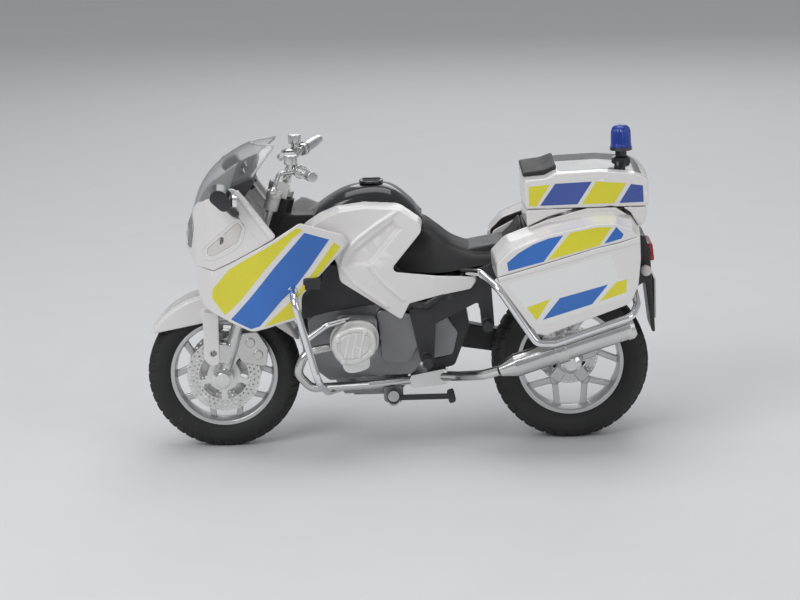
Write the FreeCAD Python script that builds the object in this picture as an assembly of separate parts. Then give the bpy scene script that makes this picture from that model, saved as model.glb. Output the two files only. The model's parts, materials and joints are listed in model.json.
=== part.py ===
"""Toy police touring motorcycle, about 1:12, built as an assembly of separate pieces.

Frame: millimetres, +X forwards, +Y to the rider's left, +Z up, origin on the ground under the middle of the
outline. A diecast and plastic toy: free-rolling wheels, a front end that steers and a side stand that folds.
Every function below makes one piece. Pieces of one rigid group that would share space are relieved by
seat_together(), in the order in which they are listed, so that neighbours meet face to face.
"""

import FreeCAD
import Part

import math
import os

V = FreeCAD.Vector

# ---------------------------------------------------------------- driving dimensions
FRONT_AXLE_X = 61.8
REAR_AXLE_X = -58.8
FRONT_TYRE_R = 26.5
REAR_TYRE_R = 27.2
RIM_R = 18.9                 # outside of the rim's flange, both wheels
BEAD_DEPTH = 0.9             # how far the tyre's beads reach in behind the flange
FRONT_TYRE_W = 11.0
REAR_TYRE_W = 15.0
FRONT_FLAT = 2.6             # half width of the flat in the middle of the front tread
REAR_FLAT = 4.0
RAKE = 17.5                  # fork angle from the vertical, degrees
STEER_OFFSET = 3.5           # steering axis behind the fork tubes
FORK_Y = 9.6                 # fork tube to the centre plane
RUNNING = 0.05               # radial clearance of every turning fit
WALL = 1.1                   # moulded shell thickness
AXLE_R = 1.5
DISC_SEAT_R = 3.6            # where the brake discs sit on the hubs
STEM_R = 2.0
CASE_Y = (15.5, 36.5)        # inner and outer face of a side case
CASE_BACK = 1.2              # its inner wall
STAND_TILT = 26.0            # stand hinge above the horizontal, degrees
STAND_PIVOT = (3.0, 13.2, 18.4)
STAND_CLEAR = 0.2            # under the open stand's foot, with the bike upright
STAND_LEAD = 12.0            # how far the open stand leans forwards, degrees
STAND_SWING = 102.0          # from open to folded back, degrees

Y_AXIS = V(0, 1, 0)
Z_AXIS = V(0, 0, 1)
RAKE_RAD = math.radians(RAKE)
FORK_DIR = V(-math.sin(RAKE_RAD), 0, math.cos(RAKE_RAD))
FORK_FWD = V(math.cos(RAKE_RAD), 0, math.sin(RAKE_RAD))


def fork_point(along, forward=0.0, y=0.0):
    """A point in the fork's own axes: along the tubes from the axle, forwards of them, and sideways."""
    axle = V(FRONT_AXLE_X, 0, FRONT_TYRE_R)
    return axle + FORK_DIR * along + FORK_FWD * forward + V(0, y, 0)


# ---------------------------------------------------------------- shape helpers
def outline(points, radius, place):
    """Closed wire of straight runs joined by tangent arcs. A point is (u, v) or (u, v, its own radius)."""
    count = len(points)
    corners = []
    for i, point in enumerate(points):
        here = place(point[0], point[1])
        before = place(*points[i - 1][:2])
        after = place(*points[(i + 1) % count][:2])
        back = before - here
        ahead = after - here
        half = back.getAngle(ahead) / 2
        limit = 0.45 * min(back.Length, ahead.Length)
        run = min(limit, (point[2] if len(point) > 2 else radius) / math.tan(half)) if half < 1.56 else 0
        back.normalize()
        ahead.normalize()
        if run < 0.02:
            corners.append((here, here, here))
            continue
        middle = back + ahead
        middle.normalize()
        reach = run / math.cos(half) - run * math.tan(half)
        corners.append((here + back * run, here + middle * reach, here + ahead * run))
    edges = []
    for i, (start, middle, end) in enumerate(corners):
        if (end - start).Length > 1e-6:
            edges.append(Part.Arc(start, middle, end).toShape())
        following = corners[(i + 1) % count][0]
        if (following - end).Length > 1e-6:
            edges.append(Part.LineSegment(end, following).toShape())
    return Part.Wire(edges)


def prism_y(points, y0, y1, radius=0.6):
    """Side-view outline (x, z), from y0 to y1."""
    face = Part.Face(outline(points, radius, lambda u, v: V(u, y0, v)))
    return face.extrude(V(0, y1 - y0, 0))


def prism_x(points, x0, x1, radius=0.6):
    """Front-view outline (y, z), from x0 to x1."""
    face = Part.Face(outline(points, radius, lambda u, v: V(x0, u, v)))
    return face.extrude(V(x1 - x0, 0, 0))


def prism_z(points, z0, z1, radius=0.6):
    """Plan-view outline (x, y), from z0 to z1."""
    face = Part.Face(outline(points, radius, lambda u, v: V(u, v, z0)))
    return face.extrude(V(0, 0, z1 - z0))


def shrunk(points, inset):
    """The outline's points pulled towards its middle by about inset on every side."""
    us = [p[0] for p in points]
    vs = [p[1] for p in points]
    cu = (min(us) + max(us)) / 2
    cv = (min(vs) + max(vs)) / 2
    ku = 1 - 2 * inset / (max(us) - min(us))
    kv = 1 - 2 * inset / (max(vs) - min(vs))
    return [(cu + (p[0] - cu) * ku, cv + (p[1] - cv) * kv, *p[2:]) for p in points]


def tapered_y(points, y0, y1, inset, radius=0.6):
    """Side-view outline at y0, smaller by inset at y1."""
    first = outline(points, radius, lambda u, v: V(u, y0, v))
    last = outline(shrunk(points, inset), radius, lambda u, v: V(u, y1, v))
    return Part.makeLoft([first, last], True, True)


def cased_y(points, y0, y1, inset, radius, wall):
    """A shell with the outline's shape, closed at y1 and along its edge, open at y0."""
    outer = tapered_y(points, y0, y1, inset, radius)
    towards = 1 if y1 > y0 else -1
    inner = tapered_y(shrunk(points, wall), y0 - towards, y1 - towards * wall, inset, max(radius - wall, 0.3))
    return outer.cut(inner)


def tube(points, radius, bend):
    """Round bar along straight runs joined by arcs of the bend radius, or as near as the runs allow."""
    corners = [V(*p) for p in points]
    edges = []
    start = corners[0]
    for i in range(1, len(corners) - 1):
        here = corners[i]
        back = corners[i - 1] - here
        ahead = corners[i + 1] - here
        half = back.getAngle(ahead) / 2
        run = min(0.45 * min(back.Length, ahead.Length), bend / math.tan(half))
        back.normalize()
        ahead.normalize()
        middle = back + ahead
        middle.normalize()
        reach = run / math.cos(half) - run * math.tan(half)
        edges.append(Part.LineSegment(start, here + back * run).toShape())
        edges.append(Part.Arc(here + back * run, here + middle * reach, here + ahead * run).toShape())
        start = here + ahead * run
    edges.append(Part.LineSegment(start, corners[-1]).toShape())
    path = Part.Wire(edges)
    section = Part.Wire(Part.Circle(corners[0], corners[1] - corners[0], radius).toShape())
    return path.makePipeShell([section], True, False)


def rod(start, end, radius):
    """Straight round bar between two points."""
    start = V(*start)
    run = V(*end) - start
    return Part.makeCylinder(radius, run.Length, start, run)


def turned(points, centre, direction=Y_AXIS):
    """A lathe-turned solid: (radius, distance along the axis) points turned about the axis through centre."""
    direction = V(direction)
    direction.normalize()
    side = V(0, 0, 1) if abs(direction.z) < 0.9 else V(1, 0, 0)
    side = side - direction * side.dot(direction)
    side.normalize()
    corners = [centre + side * r + direction * a for r, a in points]
    wire = Part.makePolygon(corners + corners[:1])
    return Part.Face(wire).revolve(centre, direction, 360)


def mirrored(shape):
    """The same piece on the other side of the bike."""
    return shape.mirror(V(0, 0, 0), Y_AXIS)


def both_sides(shape):
    """A left piece and its right twin, as two separate solids."""
    return [shape, mirrored(shape)]


def fused(*shapes):
    """One solid from several that meet."""
    whole = shapes[0].fuse(list(shapes[1:]))
    return whole.removeSplitter()


def solids_of(shape):
    """The solids of a shape or of a list of shapes."""
    if isinstance(shape, list):
        return [solid for one in shape for solid in solids_of(one)]
    return list(shape.Solids)


# ---------------------------------------------------------------- wheels
def tyre(axle, tyre_r, width, flat):
    """A hollow road tyre with a flat middle to its tread, seated on the rim's shoulder."""
    half = width / 2
    bead = RIM_R - BEAD_DEPTH
    section = [
        (bead, -half * 0.62),
        (RIM_R + 1.6, -half * 0.93),
        (RIM_R + 3.9, -half),
        (tyre_r - 1.9, -half * 0.78),
        (tyre_r - 0.5, -half * 0.5 - flat * 0.2),
        (tyre_r, -flat),
        (tyre_r, flat),
        (tyre_r - 0.5, half * 0.5 + flat * 0.2),
        (tyre_r - 1.9, half * 0.78),
        (RIM_R + 3.9, half),
        (RIM_R + 1.6, half * 0.93),
        (bead, half * 0.62),
        (RIM_R + 1.0, half * 0.55),
        (tyre_r - 2.6, half * 0.45),
        (tyre_r - 2.6, -half * 0.45),
        (RIM_R + 1.0, -half * 0.55),
    ]
    return turned(section, axle)


def rim(axle, width, hub_half):
    """Cast wheel: a drop-centre ring, a bored hub and five Y-shaped spokes."""
    half = width / 2
    flange = half * 0.62
    ring = turned(
        [
            (RIM_R - 1.7, -flange - 0.5),
            (RIM_R, -flange - 0.7),
            (RIM_R, -flange),
            (RIM_R - BEAD_DEPTH, -flange),
            (RIM_R - 1.3, 0),
            (RIM_R - BEAD_DEPTH, flange),
            (RIM_R, flange),
            (RIM_R, flange + 0.7),
            (RIM_R - 1.7, flange + 0.5),
            (RIM_R - 2.3, 0),
        ],
        axle,
    )
    seat_from = hub_half - 1.4
    hub = turned([(0, -hub_half), (DISC_SEAT_R, -hub_half), (DISC_SEAT_R, -seat_from), (4.5, -2.2), (4.5, 2.2),
                  (DISC_SEAT_R, seat_from), (DISC_SEAT_R, hub_half), (0, hub_half)], axle)
    wheel = ring.fuse(hub)
    fork_r = 9.0
    reach = RIM_R - 1.5
    for i in range(5):
        middle = math.radians(90 + 72 * i)
        split = axle + V(math.cos(middle) * fork_r, 0, math.sin(middle) * fork_r)
        spokes = [(axle, split, 2.0, 1.5)]
        for side in (-1, 1):
            end_angle = middle + side * math.radians(21)
            end = axle + V(math.cos(end_angle) * reach, 0, math.sin(end_angle) * reach)
            spokes.append((split, end, 1.1, 0.8))
        for start, end, across, thick in spokes:
            wheel = wheel.fuse(flat_bar(start, end, across, thick))
        wheel = wheel.fuse(Part.makeCylinder(1.5, 2.4, split - V(0, 1.2, 0), Y_AXIS))
    bore = Part.makeCylinder(AXLE_R + RUNNING, 40, axle - V(0, 20, 0), Y_AXIS)
    return wheel.cut(bore).removeSplitter()


def flat_bar(start, end, half_across, half_thick):
    """A bar of rectangular section between two points of one wheel's plane."""
    run = end - start
    side = Y_AXIS.cross(run)
    side.normalize()
    side = side * half_across
    thick = V(0, half_thick, 0)
    corners = [start - side - thick, start + side - thick, start + side + thick, start - side + thick]
    return Part.Face(Part.makePolygon(corners + corners[:1])).extrude(run)


def disc(axle, y, outer, inner, hub_r):
    """Brake disc: a ring on a five-armed carrier."""
    centre = axle + V(0, y, 0)
    half = 0.35
    ring = turned([(inner, -half), (outer, -half), (outer, half), (inner, half)], centre)
    carrier = turned([(hub_r, -half), (hub_r + 2.0, -half), (hub_r + 2.0, half), (hub_r, half)], centre)
    for i in range(5):
        angle = math.radians(54 + 72 * i)
        arm = V(math.cos(angle), 0, math.sin(angle))
        carrier = carrier.fuse(flat_bar(centre + arm * (hub_r + 0.6), centre + arm * (inner + 0.6), 1.0, half))
    return ring.fuse(carrier).removeSplitter()


FRONT_AXLE = V(FRONT_AXLE_X, 0, FRONT_TYRE_R)
REAR_AXLE = V(REAR_AXLE_X, 0, REAR_TYRE_R)
REAR_HUB = 7.2


def wheels():
    """The nodes of both wheels."""
    front_disc = disc(FRONT_AXLE, 6.1, 12.8, 8.6, DISC_SEAT_R)
    return {
        "front_rim": rim(FRONT_AXLE, FRONT_TYRE_W, 6.6),
        "front_tyre": tyre(FRONT_AXLE, FRONT_TYRE_R, FRONT_TYRE_W, FRONT_FLAT),
        "front_brake_discs": both_sides(front_disc),
        "rear_rim": rim(REAR_AXLE, REAR_TYRE_W, REAR_HUB),
        "rear_tyre": tyre(REAR_AXLE, REAR_TYRE_R, REAR_TYRE_W, REAR_FLAT),
        "rear_brake_disc": disc(REAR_AXLE, -6.7, 10.6, 7.4, DISC_SEAT_R),
    }


# ---------------------------------------------------------------- front end, which steers
YOKE_LOW = 35.0              # along the fork from the axle
YOKE_TOP = 66.0
STEM_BACK = -STEER_OFFSET


def yoke(along, thick, wide):
    """One fork yoke: a plate square to the tubes, with an eye round each tube and a boss on the stem."""
    plate = Part.makeBox(2.2, 2 * wide, thick)
    plate.translate(V(-1.1, -wide, 0))
    body = plate
    back = Part.makeCylinder(3.0, thick, V(STEM_BACK, 0, 0), Z_AXIS)
    web = Part.makeBox(abs(STEM_BACK) + 1, 5.0, thick, V(STEM_BACK, -2.5, 0))
    body = body.fuse([back, web])
    for y in (-FORK_Y, FORK_Y):
        body = body.fuse(Part.makeCylinder(2.7, thick, V(0, y, 0), Z_AXIS))
    body = body.removeSplitter()
    return in_fork_axes(body, along)


def in_fork_axes(shape, along):
    """Moves a piece drawn with +Z along the tubes and +X forwards to its place on the fork."""
    placed = shape.copy()
    placed.rotate(V(0, 0, 0), Y_AXIS, -RAKE)
    placed.translate(fork_point(along))
    return placed


def fork_tube(y):
    return rod(fork_point(17.0, 0, y), fork_point(YOKE_TOP + 2.2, 0, y), 1.5)


STAY_Y = 11.9


def fork_slider(y):
    """Lower leg: a sleeve on the tube, ending in a clamp round the axle."""
    sleeve = rod(fork_point(2.0, 0, y), fork_point(22.0, 0, y), 2.1)
    clamp = Part.makeCylinder(2.9, 4.2, fork_point(0, 0, y) - V(0, 2.1, 0), Y_AXIS)
    side = 1 if y > 0 else -1
    lug = prism_y([(59.0, 31.6), (66.4, 32.8), (66.4, 39.2), (59.0, 38.6)], side * 9.0, side * STAY_Y, 1.0)
    clamp = clamp.fuse([sleeve, lug])
    bore = Part.makeCylinder(AXLE_R, 6, fork_point(0, 0, y) - V(0, 3, 0), Y_AXIS)
    return clamp.cut(bore).removeSplitter()


def front_axle():
    """Through axle with a stepped cap at each end."""
    half = FORK_Y + 2.1
    left = turned([(0, half), (3.6, half), (3.6, half + 1.0), (2.4, half + 1.3), (2.4, half + 2.2), (0, half + 2.2)],
                  FRONT_AXLE)
    shaft = Part.makeCylinder(AXLE_R, 2 * half, FRONT_AXLE - V(0, half, 0), Y_AXIS)
    return shaft.fuse([left, mirrored(left)]).removeSplitter()


def handlebar_points(side):
    """The bar's centre line from its clamp to its end."""
    return [(37.6, 0, 95.4), (37.6, side * 6.5, 95.4), (36.0, side * 13.5, 98.6), (33.0, side * 20, 100.4),
            (28.2, side * 35.0, 101.0)]


def handlebar():
    """Bent bar with a round weight at each end."""
    left = tube(handlebar_points(1), 1.15, 4.0)
    weight = rod(on_bar(1, 0.93), on_bar(1, 1.16), 1.8)
    return fused(left, weight, mirrored(left), mirrored(weight))


def on_bar(side, share):
    """A point on the straight outer run of the bar, from its inner end (0) to its outer end (1)."""
    inner, outer = (V(*p) for p in handlebar_points(side)[-2:])
    return inner + (outer - inner) * share


def grip(side):
    sleeve = rod(on_bar(side, 0.22), on_bar(side, 0.93), 1.85)
    flange = rod(on_bar(side, 0.16), on_bar(side, 0.22), 2.4)
    return sleeve.fuse(flange).removeSplitter()


def lever(side):
    """Hand lever in front of the grip with a ball end, its perch round the bar, and the reservoir on the perch."""
    root = on_bar(side, 0.07)
    perch = rod(on_bar(side, 0.0), on_bar(side, 0.14), 2.1)
    elbow = root + V(6.6, side * 1.0, -0.6)
    tip = root + V(8.2, side * 11.4, -4.6)
    blade = tube([tuple(root), tuple(elbow), tuple(tip)], 0.8, 2.4)
    ball = Part.makeSphere(1.4, tip)
    neck = Part.makeCylinder(1.3, 2.6, root + V(2.6, 0, 0.4), Z_AXIS)
    cup = Part.makeCylinder(2.3, 3.0, root + V(2.6, 0, 2.4), Z_AXIS)
    return fused(perch, blade, ball, neck, cup)


def upper_yoke():
    """Top yoke with a collar round each fork tube and the riser block that holds the bar cast on it."""
    riser = Part.makeBox(4.6, 16.0, 3.4 + 2.2, V(-4.4, -8.0, 0))
    collars = [rod(fork_point(YOKE_TOP - 4.6, 0, y), fork_point(YOKE_TOP + 1.0, 0, y), 2.5) for y in (-FORK_Y, FORK_Y)]
    return fused(yoke(YOKE_TOP, 2.2, FORK_Y), in_fork_axes(riser, YOKE_TOP), *collars)


def lower_yoke():
    """Lower yoke in one piece with the steering stem."""
    stem = rod(fork_point(YOKE_LOW + 1, STEM_BACK), fork_point(YOKE_TOP + 1.0, STEM_BACK), STEM_R)
    return fused(yoke(YOKE_LOW, 3.0, FORK_Y), stem)


def front_mudguard():
    """A skin that follows the tyre's crown, with straight-edged skirts that run to a point in front."""
    outer_r = FRONT_TYRE_R + 2.9
    inner_r = outer_r - WALL
    half_w = FRONT_TYRE_W / 2 + 1.9
    around = turned([(inner_r, -half_w + WALL), (outer_r - 0.9, -half_w), (outer_r, -half_w + 1.6),
                     (outer_r, half_w - 1.6), (outer_r - 0.9, half_w), (inner_r, half_w - WALL)], FRONT_AXLE)
    skirt = turned([(inner_r - 9.0, half_w - WALL), (outer_r - 0.9, half_w - WALL), (outer_r - 0.9, half_w),
                    (inner_r - 9.0, half_w)], FRONT_AXLE)
    skin = around.fuse([skirt, mirrored(skirt)])
    keep = prism_y([(FRONT_AXLE_X - 26.5, 38.0), (FRONT_AXLE_X - 30.0, 60.0), (FRONT_AXLE_X + 30.0, 60.0),
                    (FRONT_AXLE_X + 26.5, 41.6), (FRONT_AXLE_X + 5.0, 45.6), (FRONT_AXLE_X - 14.0, 47.0)],
                   -20, 20, 0.5)
    leg = prism_y([(62.6, 32.0, 2.6), (62.4, 50.0), (67.9, 50.6), (67.9, 33.6, 2.6), (65.4, 31.0, 2.4)],
                  STAY_Y, STAY_Y + 1.0, 1.0)
    bridge = prism_y([(62.4, 46.8), (62.4, 50.0), (67.9, 50.6), (67.9, 46.8)], half_w - 0.6, STAY_Y + 0.5, 0.5)
    hole = Part.makeCylinder(STAY_HOLE_R, 4, V(*STAY_HOLE) + V(0, -2, 0), Y_AXIS)
    leg = leg.cut(hole)
    return fused(skin.common(keep), leg, bridge, mirrored(leg), mirrored(bridge))


STAY_HOLE = (64.6, STAY_Y, 35.8)
STAY_HOLE_R = 1.1


def stay_screw():
    """Pan-headed screw in the mudguard's leg."""
    return Part.makeCylinder(STAY_HOLE_R, 0.7, V(*STAY_HOLE), Y_AXIS)


def front_caliper():
    """Four-piston caliper beside the disc, on the fork leg."""
    body = prism_y([(46.6, 30.0), (46.0, 36.5), (49.6, 42.4), (54.5, 42.0), (57.6, 36.5), (55.0, 31.5)],
                   7.2, 9.8, 1.2)
    pots = [Part.makeCylinder(1.5, 0.6, V(x, 9.8, z), Y_AXIS) for x, z in ((49.4, 34.2), (52.0, 38.6))]
    return fused(body, *pots)


def steering():
    """The nodes that turn with the handlebar, without the wheel."""
    return {
        "fork_tubes": both_sides(fork_tube(FORK_Y)),
        "lower_yoke_and_stem": lower_yoke(),
        "upper_yoke": upper_yoke(),
        "front_axle": front_axle(),
        "fork_legs": both_sides(fork_slider(FORK_Y)),
        "handlebar": handlebar(),
        "hand_grips": both_sides(grip(1)),
        "hand_levers": both_sides(lever(1)),
        "front_mudguard": front_mudguard(),
        "mudguard_screws": both_sides(stay_screw()),
        "front_calipers": both_sides(front_caliper()),
    }


# ---------------------------------------------------------------- engine, exhaust and running gear
def engine_block():
    """Crankcase, front cover, gearbox and ribbed sump in one casting, with the lug for the side stand."""
    case = prism_y([(30.5, 29), (32.0, 46), (27, 50), (2, 52), (-7, 50), (-9.5, 34), (-4, 26), (25, 24.5)],
                   -10.5, 10.5, 2.0)
    front_cover = Part.makeCylinder(7.0, 3.0, V(31.0, 0, 37.5), V(1, 0, 0))
    gearbox = prism_y([(-7, 30), (-7, 48), (-16, 46), (-20, 40), (-18, 32)], -8.5, 8.5, 1.5)
    side_case = prism_y([(8.2, 50), (-5, 48), (-7.2, 38), (-2, 30.5), (6.5, 31.5)], -13.5, 13.5, 2.0)
    sump = prism_y([(24, 25.5), (-3, 27.0), (-1, 20.5), (20, 18.6)], -7.5, 7.5, 1.2)
    ribs = [Part.makeBox(15.0, 0.9, 2.2, V(2.0, y - 0.45, 17.6)) for y in (-4.5, -1.5, 1.5, 4.5)]
    lug = prism_y([(-0.4, 15.8), (-0.4, 22.0), (6.4, 22.0), (6.4, 15.8)], 6.4, 10.2, 1.5)
    return fused(case, front_cover, gearbox, side_case, sump, lug, *ribs)


def cylinder(side):
    """Finned barrel that sticks out sideways."""
    core = [(9.6, 35.5), (9.6, 46.5), (21.0, 47.0), (21.6, 37.0)]
    fin = [(8.0, 34.4), (7.8, 47.6), (22.2, 48.4), (23.0, 36.0)]
    barrel = prism_y(core, side * 10.5, side * 22.5, 2.0)
    fins = [prism_y(fin, side * (12.0 + 1.7 * i), side * (12.8 + 1.7 * i), 2.5) for i in range(6)]
    return fused(barrel, *fins)


HEAD_COVER = [(24.4, 41.6), (23.1, 45.6), (13.8, 49.0), (8.8, 47.3), (7.0, 43.2), (8.3, 37.6), (17.6, 33.2),
              (22.6, 35.8)]


def head_cover(side):
    """Rocker cover: an oval cap with a lipped joint, two ridges and four bolt bosses."""
    lip = prism_y(HEAD_COVER, side * 22.5, side * 24.3, 3.0)
    cap = tapered_y(shrunk(HEAD_COVER, 0.6), side * 24.3, side * 31.0, 1.2, 2.8)
    ridges = [
        prism_y([(20.6, 40.2 + 3.6 * i), (11.4, 43.6 + 3.6 * i), (11.0, 42.4 + 3.6 * i), (20.2, 39.0 + 3.6 * i)],
                side * 30.0, side * 31.4, 0.5)
        for i in range(2)
    ]
    bosses = [Part.makeCylinder(1.2, 7.2, V(x, side * 24.0, z), V(0, side, 0))
              for x, z in ((21.8, 41.6), (11.6, 46.6), (9.2, 40.6), (18.4, 35.6))]
    chin = prism_y([(20.0, 35.4), (11.0, 38.2), (10.6, 32.6), (18.8, 31.0)], side * 22.5, side * 27.0, 1.2)
    return fused(lip, cap, chin, *ridges, *bosses)


def crash_bar(side):
    """Engine guard: a bent bar round the cylinder, with a brace back to the barrel."""
    bar = tube([(30.0, side * 9.6, 55.0), (35.6, side * 19.0, 60.6), (35.8, side * 32.2, 59.4),
                (28.2, side * 33.0, 29.8), (25.4, side * 22.0, 23.4), (16.0, side * 6.6, 22.4)], 1.25, 5.0)
    brace = tube([(31.6, side * 32.4, 44.6), (25.0, side * 30.6, 49.0), (17.6, side * 20.0, 48.6)], 1.0, 3.0)
    return fused(bar, brace)


def exhaust_pipes():
    """Both header pipes, the box that joins them under the engine, and the link pipe to the silencer."""
    header = tube([(22.0, 19.6, 39.0), (32.5, 25.8, 38.6), (35.6, 25.0, 31.0), (31.0, 22.5, 25.2),
                   (12.0, 14.5, 23.6), (-3.5, 9.6, 23.6)], 1.5, 4.5)
    box = prism_y([(-3.0, 21.0), (-3.0, 25.6), (-15.5, 27.8), (-16.5, 22.4)], -11.5, 11.5, 1.2)
    link = tube([(-12.0, 8.6, 24.6), (-19.5, 14.0, 25.6), (-27.5, 24.0, 28.4), tuple(silencer_axis(-4.4))], 1.7, 5.0)
    return fused(header, mirrored(header), box, link)


SILENCER_FRONT = V(-37.6, 27.0, 31.9)
SILENCER_REAR = V(-77.4, 27.0, 44.4)
SILENCER_R = 4.0


def silencer_axis(along):
    run = SILENCER_REAR - SILENCER_FRONT
    run.normalize()
    return SILENCER_FRONT + run * along


def silencer():
    """Round can with a tapered nose and a rolled tail cap round its outlet."""
    run = SILENCER_REAR - SILENCER_FRONT
    length = run.Length
    rolled = SILENCER_R + 0.25
    return turned([(0, -4.4), (2.0, -4.4), (SILENCER_R, 1.4), (SILENCER_R, length - 1.2), (rolled, length - 1.2),
                   (rolled, length + 0.6), (SILENCER_R - 0.8, length + 2.0), (2.2, length + 2.0), (2.2, length - 2.0),
                   (0, length - 2.0)], SILENCER_FRONT, run)


def silencer_band():
    """Clamp band with the strap that hangs it from the side case."""
    run = SILENCER_REAR - SILENCER_FRONT
    ring = turned([(SILENCER_R, 15.6), (SILENCER_R + 0.6, 15.6), (SILENCER_R + 0.6, 19.4), (SILENCER_R, 19.4)],
                  SILENCER_FRONT, run)
    strap = prism_y([(-52.4, 38.0), (-55.6, 39.0), (-55.5, 50.5), (-52.0, 50.5)], 26.2, 27.8, 0.5)
    return fused(ring, strap.cut(silencer()))


def swingarm():
    """Single-sided arm on the right, cast with the bevel drive's housing round its end."""
    arm = prism_y([(-13.0, 31.5), (-13.0, 39.0), (-22.0, 39.0), (-52.5, 32.0), (-52.5, 25.0)], -14.6, -9.4, 1.2)
    pivot = Part.makeCylinder(3.6, 22.0, V(-15.6, -14.6, 35.2), Y_AXIS)
    housing = turned([(0, -9.2), (6.0, -9.2), (7.8, -10.4), (7.8, -14.6), (5.6, -16.4), (0, -16.4)], REAR_AXLE)
    hub_cap = turned([(0, -16.4), (2.6, -16.4), (2.2, -17.6), (0, -17.6)], REAR_AXLE)
    return fused(arm, pivot, housing, hub_cap)


def rear_axle():
    """Stub axle fixed in the final drive, with a capped nut on the open side."""
    nut_y = REAR_HUB + 0.3
    shaft = Part.makeCylinder(AXLE_R, nut_y + 9.2, REAR_AXLE - V(0, 9.2, 0), Y_AXIS)
    nut = turned([(0, nut_y), (3.4, nut_y), (3.4, nut_y + 0.8), (2.2, nut_y + 1.6), (0, nut_y + 1.6)], REAR_AXLE)
    return fused(shaft, nut)


def rear_caliper():
    """On the arm's lower edge, over the disc."""
    return prism_y([(-49.5, 21.0), (-47.0, 26.2), (-50.0, 28.6), (-53.8, 24.6), (-53.0, 20.4)], -9.4, -7.6, 0.8)


def foot_peg(x, y, z, length):
    """Peg with a raised tip."""
    peg = Part.makeCylinder(1.5, length, V(x, y, z), Y_AXIS)
    tip = Part.makeCylinder(1.8, 0.8, V(x, y + length, z), Y_AXIS)
    return fused(peg, tip)


def foot_pegs():
    """Cast plate with a heel bar, the rider's peg and the passenger's, for each side."""
    plate = prism_y([(-3.0, 50.0), (-10.6, 52.0), (-24.0, 60.5), (-31.4, 60.0), (-32.4, 42.6), (-28.0, 42.6),
                     (-27.2, 52.0), (-12.0, 44.5), (-11.4, 31.0), (-6.8, 31.0)], 13.6, 14.8, 1.0)
    heel_bar = tube([(-3.4, 15.6, 52.4), (-9.0, 16.0, 51.4), (-17.0, 15.4, 57.0)], 1.5, 3.0)
    return both_sides(fused(plate, heel_bar, foot_peg(-9.0, 14.0, 33.0, 10.0), foot_peg(-30.0, 14.0, 44.5, 7.0)))


def stand_frame():
    """The stand hinge: its axis, and the way out and down square to it."""
    tilt = math.radians(STAND_TILT)
    axis = V(0, math.cos(tilt), math.sin(tilt))
    down = V(0, math.sin(tilt), -math.cos(tilt))
    lead = math.radians(STAND_LEAD)
    leg = down * math.cos(lead) + V(1, 0, 0) * math.sin(lead)
    return V(*STAND_PIVOT), axis, leg


def stand_pin():
    """Shouldered pin on the frame that the stand turns on."""
    pivot, axis, _ = stand_frame()
    shank = rod(pivot - axis * 2.6, pivot + axis * 1.5, 1.1)
    head = rod(pivot + axis * 1.5, pivot + axis * 2.2, 1.9)
    root = rod(pivot - axis * 4.6, pivot - axis * 1.4, 2.1)
    return fused(shank, head, root)


def side_stand():
    """Eye, leg and flat foot, drawn open and then folded back."""
    pivot, axis, leg = stand_frame()
    eye = rod(pivot - axis * 1.3, pivot + axis * 1.4, 2.2)
    toe = pivot + leg * ((pivot.z - 1.2) / -leg.z)
    shank = rod(pivot, toe, 1.0)
    foot = prism_z([(toe.x - 2.4, toe.y - 1.6), (toe.x - 2.4, toe.y + 1.8), (toe.x + 2.4, toe.y + 1.8),
                    (toe.x + 2.4, toe.y - 1.6)], STAND_CLEAR, 1.4, 1.0)
    below = Part.makeBox(80, 80, 20, V(-40, -40, STAND_CLEAR - 20))
    bore = rod(pivot - axis * 4, pivot + axis * 4, 1.1 + RUNNING)
    whole = fused(eye, shank, foot).cut(below).cut(bore)
    return whole.rotate(pivot, axis, STAND_SWING)


# ---------------------------------------------------------------- frame and rear end
def frame():
    """Moulded frame: steering head, backbone, pivot plates and the rails under the seat."""
    head = rod(fork_point(YOKE_LOW + 3.3, STEM_BACK), fork_point(YOKE_TOP - 0.3, STEM_BACK), 3.8)
    backbone = prism_y([(45.0, 63.0), (39.6, 82.0), (24, 82), (-4, 66), (-42, 70.5), (-42, 65), (-8, 57), (4, 57),
                        (30, 57)], -4.5, 4.5, 2.0)
    pivot_plate = prism_y([(-5, 57), (-20, 62), (-24, 42), (-18.5, 28), (-8, 26), (-10, 40)], -8.4, 8.4, 2.0)
    rails = prism_y([(-4, 60), (-4, 66), (-42, 72.4), (-82, 75.0), (-82, 72.0), (-42, 67.4)], -9.0, 9.0, 1.0)
    hollow = prism_z([(-45, -6.5), (-45, 6.5), (-79, 6.5), (-79, -6.5)], 60, 80, 2.0)
    arms = prism_y([(-18, 60), (-34, 66), (-34, 60), (-30, 57)], -13.6, 13.6, 0.8)
    ducts = prism_y([(33.4, 66), (34.6, 46.8), (24, 49.4), (8, 51.6), (-4, 50), (-6, 58), (2, 66)], -13.2, 13.2, 1.5)
    cross_bar = prism_y([(26.5, 60), (26.5, 64), (32.5, 64), (32.5, 60)], -24.9, 24.9, 1.0)
    nose_bar = prism_y([(43, 73.5), (58.8, 76.0), (58.8, 80.0), (42, 78.5)], -3.0, 3.0, 0.6)
    whole = fused(head, backbone, pivot_plate, rails.cut(hollow), arms, ducts, cross_bar, nose_bar)
    bore = rod(fork_point(YOKE_LOW, STEM_BACK), fork_point(YOKE_TOP + 4, STEM_BACK), STEM_R + RUNNING)
    return whole.cut(bore)


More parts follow.
